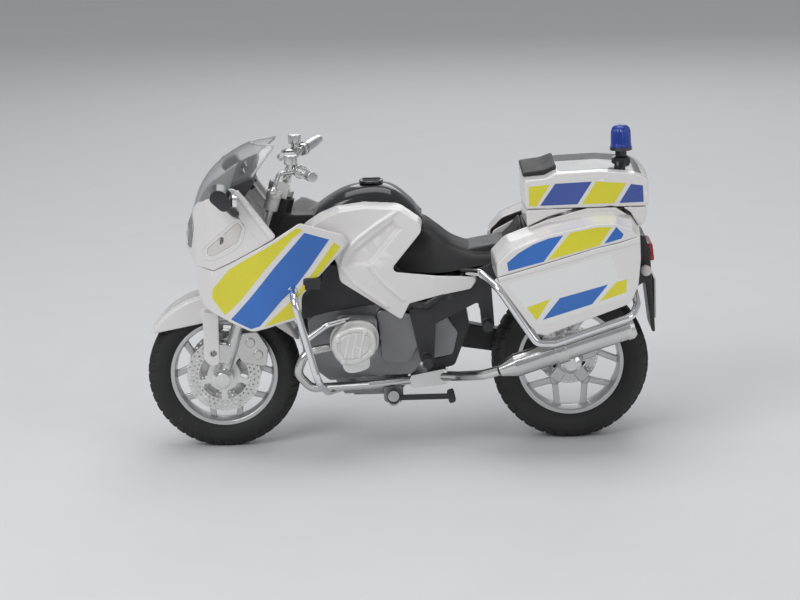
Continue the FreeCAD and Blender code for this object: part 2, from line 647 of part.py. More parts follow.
def rear_mudguard():
    """Black guard that follows the rear tyre, then hangs down behind it."""
    outer_r = REAR_TYRE_R + 3.4
    inner_r = outer_r - WALL
    half_w = 8.6
    around = turned([(inner_r, -half_w), (outer_r, -half_w), (outer_r, half_w), (inner_r, half_w)], REAR_AXLE)
    keep = prism_y([(-40, 48.5), (-40, 62), (-78, 62), (-83.0, 50.5), (-60, 50)], -20, 20, 0.5)
    skirt = prism_y([(-73.0, 52.6), (-82.6, 72.0), (-85.0, 72.0), (-86.6, 66.0), (-88.2, 38.0), (-87.0, 38.0),
                     (-84.8, 56.0), (-81.0, 53.4), (-77.6, 50.6)], -half_w, half_w, 0.5)
    return fused(around.common(keep), skirt)


def number_plate():
    """Blank plate at the end of the rear guard."""
    return prism_x([(-7.5, 42.5), (-7.5, 56.5), (7.5, 56.5), (7.5, 42.5)], -88.6, -87.9, 0.8)


def tail_light():
    return prism_y([(-84.4, 62.5), (-84.0, 69.5), (-87.6, 68.8), (-88.2, 63.0)], -7.0, 7.0, 0.6)


def rear_indicator(side):
    stalk = rod((-84.5, side * 8.0, 60.5), (-84.5, side * 11.4, 60.8), 0.7)
    pod = Part.makeSphere(2.1, V(-84.6, side * 12.6, 60.9))
    squash = FreeCAD.Matrix()
    squash.scale(0.9, 1.5, 0.9)
    pod = Part.makeSphere(2.1).transformGeometry(squash)
    pod.translate(V(-84.6, side * 13.4, 60.9))
    return fused(stalk, pod)


def rear_carrier():
    """Rack under the top case."""
    reach = CASE_Y[0] - CASE_BACK
    return prism_z([(-43, -reach), (-43, reach), (-80, reach), (-83, 9), (-83, -9), (-80, -reach)], 74.6, 76.0, 2.0)


SEAT_SIDE = [(-3.0, 77.0), (-8.6, 80.0), (-13.5, 76.0), (-19.0, 71.8), (-26.6, 68.6, 8), (-33.4, 69.2, 8),
             (-38.5, 73.4), (-42.0, 78.6), (-42.8, 78.0), (-42.8, 72.4), (-36, 65.6), (-12, 61.6), (2.0, 62.0),
             (4.0, 66.0)]


def seat():
    """Moulded rider's seat, dished in the middle and raised at both ends."""
    middle = prism_y(SEAT_SIDE, -9.0, 9.0, 2.5)
    flank = tapered_y(SEAT_SIDE, 9.0, 13.0, 1.0, 2.5)
    return fused(middle, flank, mirrored(flank))


# ---------------------------------------------------------------- bodywork
TANK_SIDE = [(33.0, 79.5), (26.4, 83.8, 5), (20.9, 86.0, 8), (11.4, 87.2, 10), (-0.7, 86.4, 6), (-9.8, 79.8, 3),
             (3.2, 63.8, 1.5), (-14.0, 61.6, 6), (-28.4, 60.8), (-25.5, 56.4, 1.5), (-13.5, 54.2, 6),
             (-3.6, 51.8, 1.0), (-0.6, 45.8, 0.8), (20.8, 60.6, 3), (22.0, 70.0, 6), (31.0, 73.0, 2)]


def tank_side(side):
    """White shell over one side of the tank, with its tail under the seat."""
    return cased_y(TANK_SIDE, side * 9.8, side * 17.8, 1.2, 3.0, WALL)


def tank_cover():
    """Dark middle of the tank, between the white shells."""
    body = prism_y([(30.0, 80.0), (26.4, 85.4), (18.0, 90.6, 8), (9.0, 92.2, 8), (1.5, 91.2, 6), (-5.0, 85.6, 4),
                    (-8.6, 80.6), (-2.0, 76.0), (20, 76.0)], -9.8, 9.8, 2.5)
    return body


def fuel_cap():
    """Hinged-looking filler cap with a finger rib."""
    centre = V(8.6, 0, 91.4)
    lid = Part.makeCylinder(4.2, 1.5, centre, Z_AXIS)
    rib = Part.makeBox(6.0, 1.2, 0.7, centre + V(-3.0, -0.6, 1.5))
    return fused(lid, rib)


FAIRING_SIDE = [(69.3, 67.4), (69.1, 58.8, 3), (66.7, 53.2, 2), (50.2, 46.0, 4), (33.4, 50.4, 1.5), (33.0, 58.2, 3),
                (16.6, 74.8, 1.5), (18.6, 78.0, 2), (33.0, 83.2, 2), (41.2, 78.2, 0.4), (62.7, 66.6, 0.4)]
NOSE_SIDE = [(69.3, 67.5, 0.4), (73.4, 71.6, 3), (72.6, 79.0, 6), (68.2, 89.0, 3), (55.0, 96.0, 2), (50.4, 91.6, 2),
             (45.8, 84.0, 2), (41.4, 78.4, 0.4), (62.8, 66.8, 0.4)]
TRIM_SIDE = [(53.4, 95.6), (50.6, 92.0), (41.0, 79.0), (45.8, 76.6), (50.8, 83.0), (56.0, 89.8)]
PLAN_OUTER = [(16.0, 19.4), (24.0, 22.6), (34.0, 25.4), (46.0, 26.2), (56.0, 24.6), (64.0, 20.0), (69.5, 13.0),
              (73.4, 0.0)]


def plan_ring(inset):
    """Plan of the fairing as a closed outline, drawn in by inset."""
    left = [(x - inset if y < 1 else x, max(y - inset, 0.0)) for x, y in PLAN_OUTER]
    right = [(x, -y) for x, y in reversed(left[:-1])]
    return left + right


def fairing_shell(side_outline, z0, z1, half):
    """The curved wall of the fairing inside a side-view outline; half is 1, -1 or 0 for both sides."""
    wall = prism_z(plan_ring(0.0), z0, z1, 8.0).cut(prism_z(plan_ring(WALL), z0 - 1, z1 + 1, 7.0))
    y0, y1 = {1: (1.5, 40), -1: (-40, -1.5), 0: (-40, 40)}[half]
    return wall.common(prism_y(side_outline, y0, y1, 1.0))


def fairing_side(side):
    """Lower side panel, which carries the striped sticker."""
    return fairing_shell(FAIRING_SIDE, 40, 90, side)


HEADLIGHT = [(-11.5, 86.0), (-12.6, 80.0), (-8.0, 72.2), (8.0, 72.2), (12.6, 80.0), (11.5, 86.0)]


def fairing_nose():
    """Front of the fairing, cut out for the headlight and for the indicator in each cheek."""
    shell = fairing_shell(NOSE_SIDE, 60, 100, 0)
    window = prism_x(HEADLIGHT, 60, 80, 2.5)
    lamp = prism_y(INDICATOR, 10, 40, 0.8)
    trim = prism_y(TRIM_SIDE, 24.0, 26.4, 0.5)
    return fused(shell.cut(window).cut(lamp).cut(mirrored(lamp)), trim, mirrored(trim))


def headlight_lens():
    shell = fairing_shell(NOSE_SIDE, 60, 100, 0)
    return shell.common(prism_x(shrunk(HEADLIGHT, 0.05), 60, 80, 2.5))


def headlight_reflector():
    """Bowl plate behind the lens, with two round cups."""
    plate = prism_x([(-23, 84.0), (-23, 76.0), (-9, 72.6), (9, 72.6), (23, 76.0), (23, 84.0)], 58.6, 60.2, 2.0)
    cups = []
    for y in (-5.2, 5.2):
        cups.append(turned([(1.4, 60.2), (2.6, 60.2), (4.6, 63.6), (3.9, 63.6), (1.4, 61.4)], V(0, y, 79.2), V(1, 0, 0)))
    return fused(plate, *cups)


INDICATOR = [(65.0, 71.6), (64.4, 74.4), (53.6, 84.2), (52.4, 82.0), (54.0, 77.4), (62.6, 72.0)]


def indicator_lens(side):
    lens = fairing_shell(NOSE_SIDE, 60, 100, side)
    return lens.common(prism_y(shrunk(INDICATOR, 0.05), side * 10, side * 40, 0.8))


def windscreen():
    """Clear curved screen: one thin sheet lofted between sections that widen and then narrow."""
    outer = screen_solid(0.0)
    inner = screen_solid(0.8)
    return outer.cut(inner)


SCREEN = [
    # z, front x, rear x, half width
    (84.0, 70.6, 58.4, 21.6),
    (92.0, 67.8, 53.4, 21.8),
    (99.0, 62.8, 48.0, 19.0),
    (104.0, 56.4, 44.0, 14.6),
    (107.2, 49.8, 41.2, 9.6),
]


def screen_solid(inset):
    """The bulk that the screen's outer or inner face bounds, open at the back."""
    sections = []
    for z, front, rear, half in SCREEN:
        nose = V(front - inset, 0, z)
        left = V(rear - inset * 2, half - inset, z)
        right = V(rear - inset * 2, -(half - inset), z)
        arc = Part.Arc(left, nose, right).toShape()
        chord = Part.LineSegment(right, left).toShape()
        sections.append(Part.Wire([arc, chord]))
    return Part.makeLoft(sections, True, False)


def dash_panel():
    """Panel behind the screen, with a round hood for each of its two gauges."""
    panel = prism_y([(58.6, 86.6), (55.6, 96.0), (48.4, 98.8), (47.6, 97.0), (52.4, 90.6), (53.4, 85.4)], -23.0, 23.0,
                    1.0)
    direction = V(-0.82, 0, 0.57)
    hoods = [Part.makeCylinder(3.8, 2.0, V(51.8, y, 94.6), direction) for y in (-6.0, 6.0)]
    return fused(panel, *hoods)


def mirror_housing(side):
    """Pod on a short arm from the shoulder of the fairing."""
    pod = tapered_y([(63.6, 94.2), (61.0, 98.2), (57.2, 97.6), (54.2, 93.4), (54.0, 90.2), (57.6, 88.6)],
                    side * 28.0, side * 35.6, 0.9, 2.4)
    arm = tube([(52.6, side * 23.4, 86.4), (54.6, side * 26.4, 87.6), (57.0, side * 30.0, 91.0)], 1.5, 2.0)
    return fused(pod, arm)


def mirror_glass(side):
    """Silvered plate on the pod's rear side."""
    return prism_x([(side * 28.8, 90.6), (side * 28.8, 95.0), (side * 34.4, 94.6), (side * 34.4, 91.0)], 53.2, 54.6,
                   1.2)


# ---------------------------------------------------------------- cases and beacon
CASE_LOWER = [(-31.8, 65.2, 0.4), (-32.4, 62.6, 1.0), (-43.0, 47.6, 2), (-47.2, 44.2, 3), (-53.0, 46.2, 3),
              (-78.4, 54.6, 5), (-81.2, 60.5, 4), (-82.2, 69.0, 4), (-82.0, 75.2, 0.4), (-66.4, 73.6, 20),
              (-49.8, 70.0, 20)]
CASE_LID = [(-31.8, 65.4, 0.4), (-31.4, 70.4, 2), (-36.2, 75.4, 6), (-50.4, 81.8, 12), (-66.4, 85.4, 8),
            (-73.4, 86.0, 4), (-79.4, 82.4, 2), (-82.0, 77.8, 1), (-82.0, 75.4, 0.4), (-66.4, 73.8, 20),
            (-49.8, 70.2, 20)]


def case_part(side, points):
    """Half of a side case, hollow and tapered towards its outer face."""
    return cased_y(points, side * CASE_Y[0], side * CASE_Y[1], 1.3, 2.0, WALL)


def case_back(side):
    """Inner wall that closes a side case and hangs on the rack."""
    return prism_y([(-33.0, 62.6), (-44.0, 47.6), (-48.0, 45.8), (-78.0, 55.6), (-80.8, 62.0), (-81.4, 76.0),
                    (-73.0, 84.0), (-51.0, 80.8), (-33.0, 70.6)], side * (CASE_Y[0] - CASE_BACK), side * CASE_Y[0], 3.0)


def case_guard(side):
    """Chrome bar that runs down in front of a side case and under it."""
    return tube([(-22.0, side * 13.6, 62.6), (-27.4, side * 24.0, 64.2), (-33.4, side * 33.0, 60.4),
                 (-45.8, side * 34.0, 41.4), (-52.0, side * 34.0, 41.2), (-78.0, side * 34.0, 49.8),
                 (-80.6, side * 24.0, 51.6), (-80.0, side * 8.0, 57.0)], 1.25, 4.0)


TOP_SEAM = 84.6
TOP_HALF = 20.0
TOP_BODY = [(-42.9, TOP_SEAM), (-43.1, 78.4), (-45.3, 76.0), (-81.6, 76.0), (-84.6, 79.0), (-85.5, TOP_SEAM)]
TOP_LID = [(-42.7, TOP_SEAM), (-42.4, 94.8), (-50.0, 95.4), (-53.4, 97.2), (-69.0, 97.8), (-81.0, 96.6),
           (-85.9, 94.0), (-85.8, TOP_SEAM)]


def top_case_bulk(points, half, inset, radius):
    """Solid with sloping cheeks: the outline in the middle, a smaller one at each side."""
    sections = [
        outline(shrunk(points, inset), radius, lambda u, v, y=y: V(u, y, v)) if y else
        outline(points, radius, lambda u, v: V(u, 0, v))
        for y in (-half, 0, half)
    ]
    return Part.makeLoft(sections, True, True)


def top_case_part(points, open_side):
    """Half of the top case, hollow, and open above (1) or below (-1)."""
    outer = top_case_bulk(points, TOP_HALF, 0.8, 1.2)
    cavity = [(p[0], p[1] + open_side * WALL * 1.5, *p[2:]) for p in shrunk(points, WALL)]
    return outer.cut(top_case_bulk(cavity, TOP_HALF - WALL, 0.8, 0.8))


def back_pad():
    """Low dark pad on the step in front of the lid."""
    return prism_y([(-42.8, 94.6), (-43.0, 96.0), (-50.0, 96.8), (-54.6, 98.4), (-54.4, 96.8), (-50.4, 95.0)], -13.0,
                   13.0, 0.6)


BEACON_X = -77.6


def beacon_base():
    base = turned([(0, 96.4), (3.4, 96.4), (3.2, 98.2), (2.0, 98.8), (2.0, 100.4), (3.9, 100.8), (3.9, 101.8),
                   (0, 101.8)], V(BEACON_X, 0, 0), Z_AXIS)
    return base


def beacon_lens():
    return turned([(0, 101.8), (3.7, 101.8), (3.5, 107.4), (2.6, 109.2), (0, 109.6)], V(BEACON_X, 0, 0), Z_AXIS)


def frame_screws():
    """Three self-tapping screws seen on the right of the frame."""
    places = ((-2.0, 60.4), (-13.5, 56.0), (-38.0, 68.4))
    return [Part.makeCylinder(1.3, 0.8, V(x, -9.0 if i == 2 else -8.4, z), V(0, -1, 0))
            for i, (x, z) in enumerate(places)]


def chassis():
    """The nodes of the main body, in the order in which they are relieved for one another."""
    return {
        "rear_axle": rear_axle(),
        "stand_pivot_pin": stand_pin(),
        "engine_block": engine_block(),
        "cylinders": both_sides(cylinder(1)),
        "rocker_covers": both_sides(head_cover(1)),
        "swingarm_with_drive": swingarm(),
        "rear_caliper": rear_caliper(),
        "frame": frame(),
        "exhaust_pipes": exhaust_pipes(),
        "silencer": silencer(),
        "crash_bars": both_sides(crash_bar(1)),
        "foot_pegs": foot_pegs(),
        "rear_carrier": rear_carrier(),
        "rear_mudguard": rear_mudguard(),
        "number_plate": number_plate(),
        "tail_light": tail_light(),
        "rear_indicators": both_sides(rear_indicator(1)),
        "tank_cover": tank_cover(),
        "fuel_cap": fuel_cap(),
        "tank_side_left": tank_side(1),
        "tank_side_right": tank_side(-1),
        "seat": seat(),
        "fairing_left": fairing_side(1),
        "fairing_right": fairing_side(-1),
        "fairing_nose": fairing_nose(),
        "headlight_lens": headlight_lens(),
        "headlight_reflector": headlight_reflector(),
        "indicator_lenses": both_sides(indicator_lens(1)),
        "windscreen": windscreen(),
        "dash_panel": dash_panel(),
        "mirror_housings": both_sides(mirror_housing(1)),
        "mirror_glasses": both_sides(mirror_glass(1)),
        "side_case_bodies": both_sides(fused(case_part(1, CASE_LOWER), case_back(1))),
        "side_case_lids": both_sides(case_part(1, CASE_LID)),
        "case_guards": both_sides(case_guard(1)),
        "silencer_band": silencer_band(),
        "top_case_body": top_case_part(TOP_BODY, 1),
        "top_case_lid": top_case_part(TOP_LID, -1),
        "back_pad": back_pad(),
        "beacon_base": beacon_base(),
        "beacon_lens": beacon_lens(),
        "frame_screws": frame_screws(),
    }


# ---------------------------------------------------------------- assembly
def seat_together(group):
    """Relieves each piece where an earlier one of its group sits, and returns {node: [solids]}."""
    placed = {}
    for node, shape in group.items():
        solids = []
        for solid in solids_of(shape):
            for others in placed.values():
                for other in others:
                    if solid.BoundBox.intersect(other.BoundBox) and solid.distToShape(other)[0] < 1e-6:
                        solid = solid.cut(other)
            pieces = sorted(solid.Solids, key=lambda piece: piece.Volume)
            solids += [piece for piece in pieces if piece.Volume > 0.04 * pieces[-1].Volume]
        placed[node] = solids
    return placed


def main():
    os.makedirs("parts", exist_ok=True)
    groups = {"wheels": wheels(), "steering": steering(), "chassis": chassis(), "stand": {"side_stand": side_stand()}}
    for group in groups.values():
        for node, solids in seat_together(group).items():
            Part.makeCompound(solids).exportStep("parts/" + node + ".step")


main()
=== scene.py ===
"""Toy police touring motorcycle: visible pieces, materials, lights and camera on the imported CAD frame.

Lengths in this file are millimetres until they reach Blender; MM turns them into metres.
"""

import json
import math

import bmesh
import bpy
import numpy as np
from mathutils import Matrix, Vector
from mathutils.bvhtree import BVHTree


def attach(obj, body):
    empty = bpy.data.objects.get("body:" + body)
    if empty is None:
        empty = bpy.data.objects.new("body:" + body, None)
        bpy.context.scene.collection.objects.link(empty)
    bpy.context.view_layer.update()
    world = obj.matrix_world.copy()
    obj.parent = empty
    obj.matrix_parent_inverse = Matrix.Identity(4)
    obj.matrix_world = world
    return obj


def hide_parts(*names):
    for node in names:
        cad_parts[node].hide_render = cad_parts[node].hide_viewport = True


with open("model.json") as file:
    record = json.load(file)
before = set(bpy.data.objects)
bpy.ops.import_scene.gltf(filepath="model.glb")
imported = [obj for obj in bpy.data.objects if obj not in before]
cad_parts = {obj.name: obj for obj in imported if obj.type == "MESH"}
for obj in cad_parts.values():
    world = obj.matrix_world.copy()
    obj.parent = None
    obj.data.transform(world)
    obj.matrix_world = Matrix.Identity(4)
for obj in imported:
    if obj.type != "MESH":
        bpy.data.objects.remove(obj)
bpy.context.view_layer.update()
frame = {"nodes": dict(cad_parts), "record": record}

MM = 0.001
BODY_OF = {node: body for body, nodes in frame["record"]["behaviour"]["bodies"].items() for node in nodes}

FRONT_AXLE = Vector((61.8, 0, 26.5))
REAR_AXLE = Vector((-58.8, 0, 27.2))
TOP_CASE_SEAM = 84.6
EDGE_BEAD = 0.42            # radius of the bead on the screen's edge and round the indicators
FILM_LIFT = 0.05            # a sticker's outer face above its panel
FILM_OVER_FILM = 0.03       # more lift for bands that lie on another film


# ---------------------------------------------------------------- materials
def node_of(tree, kind, **values):
    """Adds a shader node and sets its properties and inputs by name."""
    node = tree.nodes.new(kind)
    for key, value in values.items():
        if key in node.inputs:
            node.inputs[key].default_value = value
        else:
            setattr(node, key, value)
    return node


def noise(tree, coords, scale, detail=3.0, rough=0.5):
    texture = node_of(tree, "ShaderNodeTexNoise")
    texture.inputs["Scale"].default_value = scale
    texture.inputs["Detail"].default_value = detail
    texture.inputs["Roughness"].default_value = rough
    tree.links.new(coords, texture.inputs["Vector"])
    return texture.outputs["Fac"]


def spread(tree, value, low, high, low_from=0.3, high_from=0.7):
    """Maps a noise value onto low..high."""
    ranged = node_of(tree, "ShaderNodeMapRange")
    for name, number in (("From Min", low_from), ("From Max", high_from), ("To Min", low), ("To Max", high)):
        ranged.inputs[name].default_value = number
    tree.links.new(value, ranged.inputs["Value"])
    return ranged.outputs["Result"]


def mixed(tree, factor, first, second):
    """Colour mix; first and second are colours or sockets."""
    mix = node_of(tree, "ShaderNodeMix", data_type="RGBA")
    tree.links.new(factor, mix.inputs[0])
    for socket, value in ((mix.inputs[6], first), (mix.inputs[7], second)):
        if isinstance(value, bpy.types.NodeSocket):
            tree.links.new(value, socket)
        else:
            socket.default_value = (*value, 1.0)
    return mix.outputs[2]


def shade(colour, by):
    return tuple(min(1.0, c * by) for c in colour)


def surface(name, colour, rough, metal=0.0, coat=0.0, grain=900.0, relief=0.02, cloud=0.05, smudge=0.06,
            edge_highlight=None, clear=0.0, ior=1.5, streak=None):
    """A finish: slow colour change, patchy gloss, a fine surface grain, and a painted edge highlight: convex edges
    mixed towards a paler colour.
    """
    made = bpy.data.materials.new(name)
    made.use_nodes = True
    tree = made.node_tree
    shader = tree.nodes["Principled BSDF"]
    coords = node_of(tree, "ShaderNodeTexCoord").outputs["Object"]
    if streak:
        mapping = node_of(tree, "ShaderNodeMapping")
        mapping.inputs["Scale"].default_value = streak
        tree.links.new(coords, mapping.inputs["Vector"])
        coords = mapping.outputs["Vector"]
    slow = spread(tree, noise(tree, coords, 45.0, 4.0), 0.0, 1.0)
    base = mixed(tree, slow, shade(colour, 1 - cloud), shade(colour, 1 + cloud))
    # painted highlight: convex edges (high pointiness) are mixed towards the paler edge colour, standing in for
    # light caught on the edges
    if edge_highlight:
        edge = node_of(tree, "ShaderNodeNewGeometry").outputs["Pointiness"]
        base = mixed(tree, spread(tree, edge, 0.0, 0.75, 0.52, 0.60), base, edge_highlight)
    tree.links.new(base, shader.inputs["Base Color"])
    patchy = noise(tree, coords, 160.0, 5.0, 0.6)
    tree.links.new(spread(tree, patchy, max(rough - smudge, 0.02), rough + smudge), shader.inputs["Roughness"])
    bump = node_of(tree, "ShaderNodeBump")
    bump.inputs["Strength"].default_value = 0.6
    bump.inputs["Distance"].default_value = relief * MM
    tree.links.new(noise(tree, coords, grain, 2.0), bump.inputs["Height"])
    tree.links.new(bump.outputs["Normal"], shader.inputs["Normal"])
    shader.inputs["Metallic"].default_value = metal
    shader.inputs["Coat Weight"].default_value = coat
    shader.inputs["Coat Roughness"].default_value = 0.05
    shader.inputs["Transmission Weight"].default_value = clear
    shader.inputs["IOR"].default_value = ior
    return made


# The paler edge colour given to each finish below is a painted edge highlight.
WHITE = surface("white_gloss_plastic", (0.78, 0.76, 0.75), 0.24, coat=0.5, relief=0.012, cloud=0.012, smudge=0.05,
                edge_highlight=(0.90, 0.89, 0.88))
BLACK = surface("black_gloss_plastic", (0.018, 0.018, 0.02), 0.16, coat=0.5, relief=0.012, cloud=0.2,
                edge_highlight=(0.06, 0.06, 0.065))
SATIN = surface("black_satin_plastic", (0.028, 0.028, 0.03), 0.42, grain=1500, relief=0.03, cloud=0.15,
                edge_highlight=(0.09, 0.09, 0.09))
SEAT = surface("grained_seat", (0.022, 0.022, 0.023), 0.55, grain=1100, relief=0.12, cloud=0.15,
               edge_highlight=(0.05, 0.05, 0.05))
RUBBER = surface("tyre_rubber", (0.016, 0.016, 0.016), 0.66, grain=1400, relief=0.05, cloud=0.25,
                 edge_highlight=(0.05, 0.05, 0.048))
GRIP = surface("grip_rubber", (0.02, 0.02, 0.02), 0.6, grain=1600, relief=0.06, cloud=0.2, edge_highlight=(0.07, 0.07, 0.07))
SILVER = surface("silver_wheel_paint", (0.60, 0.60, 0.60), 0.33, metal=0.75, grain=2600, relief=0.012, cloud=0.05,
                 edge_highlight=(0.82, 0.82, 0.82))
ENGINE = surface("grey_cast_metal", (0.27, 0.27, 0.28), 0.42, metal=0.8, grain=1300, relief=0.05, cloud=0.12,
                 edge_highlight=(0.60, 0.60, 0.60))
COVER = surface("silver_cover_paint", (0.70, 0.70, 0.68), 0.40, metal=0.45, grain=2200, relief=0.015, cloud=0.05,
                edge_highlight=(0.90, 0.90, 0.88))
CHROME = surface("bright_chrome", (0.86, 0.86, 0.87), 0.07, metal=1.0, relief=0.008, cloud=0.03, smudge=0.04)
PLATED = surface("plated_plastic", (0.68, 0.68, 0.67), 0.2, metal=1.0, grain=700, relief=0.02, cloud=0.08,
                 smudge=0.1, edge_highlight=(0.88, 0.88, 0.86))
DISC = surface("brushed_disc_steel", (0.66, 0.66, 0.64), 0.3, metal=0.95, grain=1800, relief=0.03, cloud=0.08,
               edge_highlight=(0.85, 0.85, 0.83))
STEEL = surface("zinc_screw", (0.46, 0.46, 0.45), 0.28, metal=1.0, grain=1500, relief=0.02, cloud=0.1)
PLATE = surface("blank_plate", (0.62, 0.62, 0.60), 0.35, relief=0.015, cloud=0.04)
MIRROR = surface("mirror_foil", (0.9, 0.9, 0.92), 0.05, metal=1.0, relief=0.004, cloud=0.02, smudge=0.03)
GLASS = surface("clear_plastic", (0.93, 0.95, 0.96), 0.06, relief=0.004, cloud=0.01, smudge=0.03, clear=0.96,
                ior=1.42)
# painted highlight: a paler, less clear plastic for the bright line along the screen's edge
SCREEN_EDGE_HIGHLIGHT = surface("clear_plastic_edge_highlight", (0.90, 0.92, 0.93), 0.12, relief=0.01, cloud=0.03, clear=0.55, ior=1.42)
AMBER = surface("pale_lens", (0.66, 0.63, 0.61), 0.16, coat=0.5, relief=0.05, grain=260, cloud=0.05)
RED = surface("red_lens", (0.55, 0.02, 0.02), 0.12, coat=0.4, relief=0.01, cloud=0.05, clear=0.5)
BLUE_LENS = surface("blue_lens", (0.02, 0.09, 0.62), 0.08, coat=0.4, relief=0.01, cloud=0.05, clear=0.55)
BLUE = surface("blue_sticker", (0.025, 0.15, 0.52), 0.22, coat=0.4, relief=0.006, cloud=0.10, smudge=0.06)
BLUE_DARK = surface("blue_sticker_deep", (0.045, 0.09, 0.36), 0.22, coat=0.4, relief=0.006, cloud=0.10)
YELLOW = surface("yellow_sticker", (0.74, 0.68, 0.03), 0.24, coat=0.4, relief=0.006, cloud=0.05, smudge=0.06)
BORDER = surface("sticker_film", (0.80, 0.80, 0.79), 0.16, coat=0.5, relief=0.006, cloud=0.02)
DIAL = surface("dial_face", (0.72, 0.72, 0.70), 0.3, relief=0.01, cloud=0.03)

FINISH = {
    "body_white": WHITE, "body_black": BLACK, "frame_black": SATIN, "seat_black": SEAT, "tyre": RUBBER,
    "wheel_silver": SILVER, "engine_grey": ENGINE, "cover_silver": COVER, "chrome": CHROME, "chrome_dull": PLATED,
    "disc_steel": DISC, "axle_steel": PLATED, "grip_black": GRIP, "clear": GLASS, "amber": AMBER, "red_lens": RED,
    "blue_lens": BLUE_LENS, "reflector": MIRROR, "plate_grey": PLATE, "screw_steel": STEEL,
}


# ---------------------------------------------------------------- mesh helpers
def slot_of(node):
    """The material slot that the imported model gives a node."""
    return frame["nodes"][node].material_slots[0].material.name.split(".")[0]


def show(name, mesh, body, slot, replaces=(), materials=None):
    """Puts a mesh in the scene as a piece of a body."""
    piece = bpy.data.objects.new(name, mesh)
    bpy.context.scene.collection.objects.link(piece)
    for finish in materials or [FINISH[slot]]:
        mesh.materials.append(finish)
    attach(piece, body)
    if replaces:
        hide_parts(*replaces)
    return piece


def mesh_from(bm, name, smooth_below=None):
    """Mesh of a bmesh, shaded smooth; edges sharper than smooth_below degrees stay crisp."""
    mesh = bpy.data.meshes.new(name)
    bmesh.ops.recalc_face_normals(bm, faces=bm.faces)
    bm.to_mesh(mesh)
    bm.free()
    mesh.polygons.foreach_set("use_smooth", [True] * len(mesh.polygons))
    if smooth_below:
        mesh.set_sharp_from_angle(angle=math.radians(smooth_below))
    return mesh


def evaluated(mesh, *modifiers):
    """The mesh after modifiers, each given as (type, {property: value})."""
    carrier = bpy.data.objects.new("carrier", mesh)
    bpy.context.scene.collection.objects.link(carrier)
    for kind, settings in modifiers:
        modifier = carrier.modifiers.new(kind, kind)
        for key, value in settings.items():
            setattr(modifier, key, value)
    graph = bpy.context.evaluated_depsgraph_get()
    result = bpy.data.meshes.new_from_object(carrier.evaluated_get(graph))
    bpy.data.objects.remove(carrier)
    return result


def sculpted(mesh, shape):
    """Moves every vertex by a function of its millimetre coordinates (an n by 3 array, changed in place)."""
    points = np.zeros(len(mesh.vertices) * 3, np.float32)
    mesh.vertices.foreach_get("co", points)
    points = points.reshape(-1, 3) / MM
    shape(points)
    mesh.vertices.foreach_set("co", (points * MM).astype(np.float32).ravel())
    mesh.update()


def moulded(node, voxel, rounds, keep, shape=None):
    """A CAD piece with the soft edges of a moulding, as a piece of its own over the CAD node."""
    source = frame["nodes"][node].data.copy()
    source.materials.clear()
    soft = evaluated(source, ("REMESH", {"mode": "VOXEL", "voxel_size": voxel * MM, "use_smooth_shade": True}),
                     ("SMOOTH", {"factor": 0.5, "iterations": rounds}))
    if shape:
        sculpted(soft, shape)
    lean = evaluated(soft, ("DECIMATE", {"ratio": keep}))
    lean.materials.clear()
    lean.polygons.foreach_set("use_smooth", [True] * len(lean.polygons))
    return show(node + "_moulding", lean, BODY_OF[node], slot_of(node), [node])


def frame_along(direction):
    """Two unit vectors square to a direction."""
    side = Vector((0, 0, 1)) if abs(direction.z) < 0.9 else Vector((1, 0, 0))
    first = (side - direction * side.dot(direction)).normalized()
    return first, direction.cross(first)


def lathe(bm, centre, direction, profile, steps=96, closed=False, radial=None):
    """Adds a turned form: profile is (radius, distance along the axis); radial(angle, i) adds to the radius."""
    direction = Vector(direction).normalized()
    first, second = frame_along(direction)
    rings = []
    for i, (radius, along) in enumerate(profile):
        ring = []
        for k in range(steps):
            angle = 2 * math.pi * k / steps
            r = max(radius + (radial(angle, i) if radial else 0), 0.001)
            point = centre + direction * along + (first * math.cos(angle) + second * math.sin(angle)) * r
            ring.append(bm.verts.new(point * MM))
        rings.append(ring)
    pairs = list(zip(rings, rings[1:])) + ([(rings[-1], rings[0])] if closed else [])
    for one, two in pairs:
        for k in range(steps):
            n = (k + 1) % steps
            bm.faces.new((one[k], one[n], two[n], two[k]))
    if not closed:
        bm.faces.new(rings[0])
        bm.faces.new(rings[-1])


def mirror_y(bm):
    """Adds the same shapes on the other side of the bike."""
    twin = bmesh.ops.duplicate(bm, geom=bm.verts[:] + bm.edges[:] + bm.faces[:])
    for vert in twin["geom"]:
        if isinstance(vert, bmesh.types.BMVert):
            vert.co.y = -vert.co.y


def smoothstep(value, low, high):
    t = np.clip((value - low) / (high - low), 0, 1)
    return t * t * (3 - 2 * t)


def line_distance(x, z, points):
    """Distance of each (x, z) from a run of straight segments."""
    nearest = np.full(len(x), 1e9)
    for (x0, z0), (x1, z1) in zip(points, points[1:]):
        dx, dz = x1 - x0, z1 - z0
        share = np.clip(((x - x0) * dx + (z - z0) * dz) / (dx * dx + dz * dz), 0, 1)
        nearest = np.minimum(nearest, np.hypot(x - x0 - share * dx, z - z0 - share * dz))
    return nearest


def depth_inside(x, z, points):
    """How far each (x, z) is inside a convex outline; negative outside."""
    middle_x = sum(p[0] for p in points) / len(points)
    middle_z = sum(p[1] for p in points) / len(points)
    least = np.full(len(x), 1e9)
    for (x0, z0), (x1, z1) in zip(points, points[1:] + points[:1]):
        nx, nz = z0 - z1, x1 - x0
        if (middle_x - x0) * nx + (middle_z - z0) * nz < 0:
            nx, nz = -nx, -nz
        least = np.minimum(least, ((x - x0) * nx + (z - z0) * nz) / math.hypot(nx, nz))
    return least


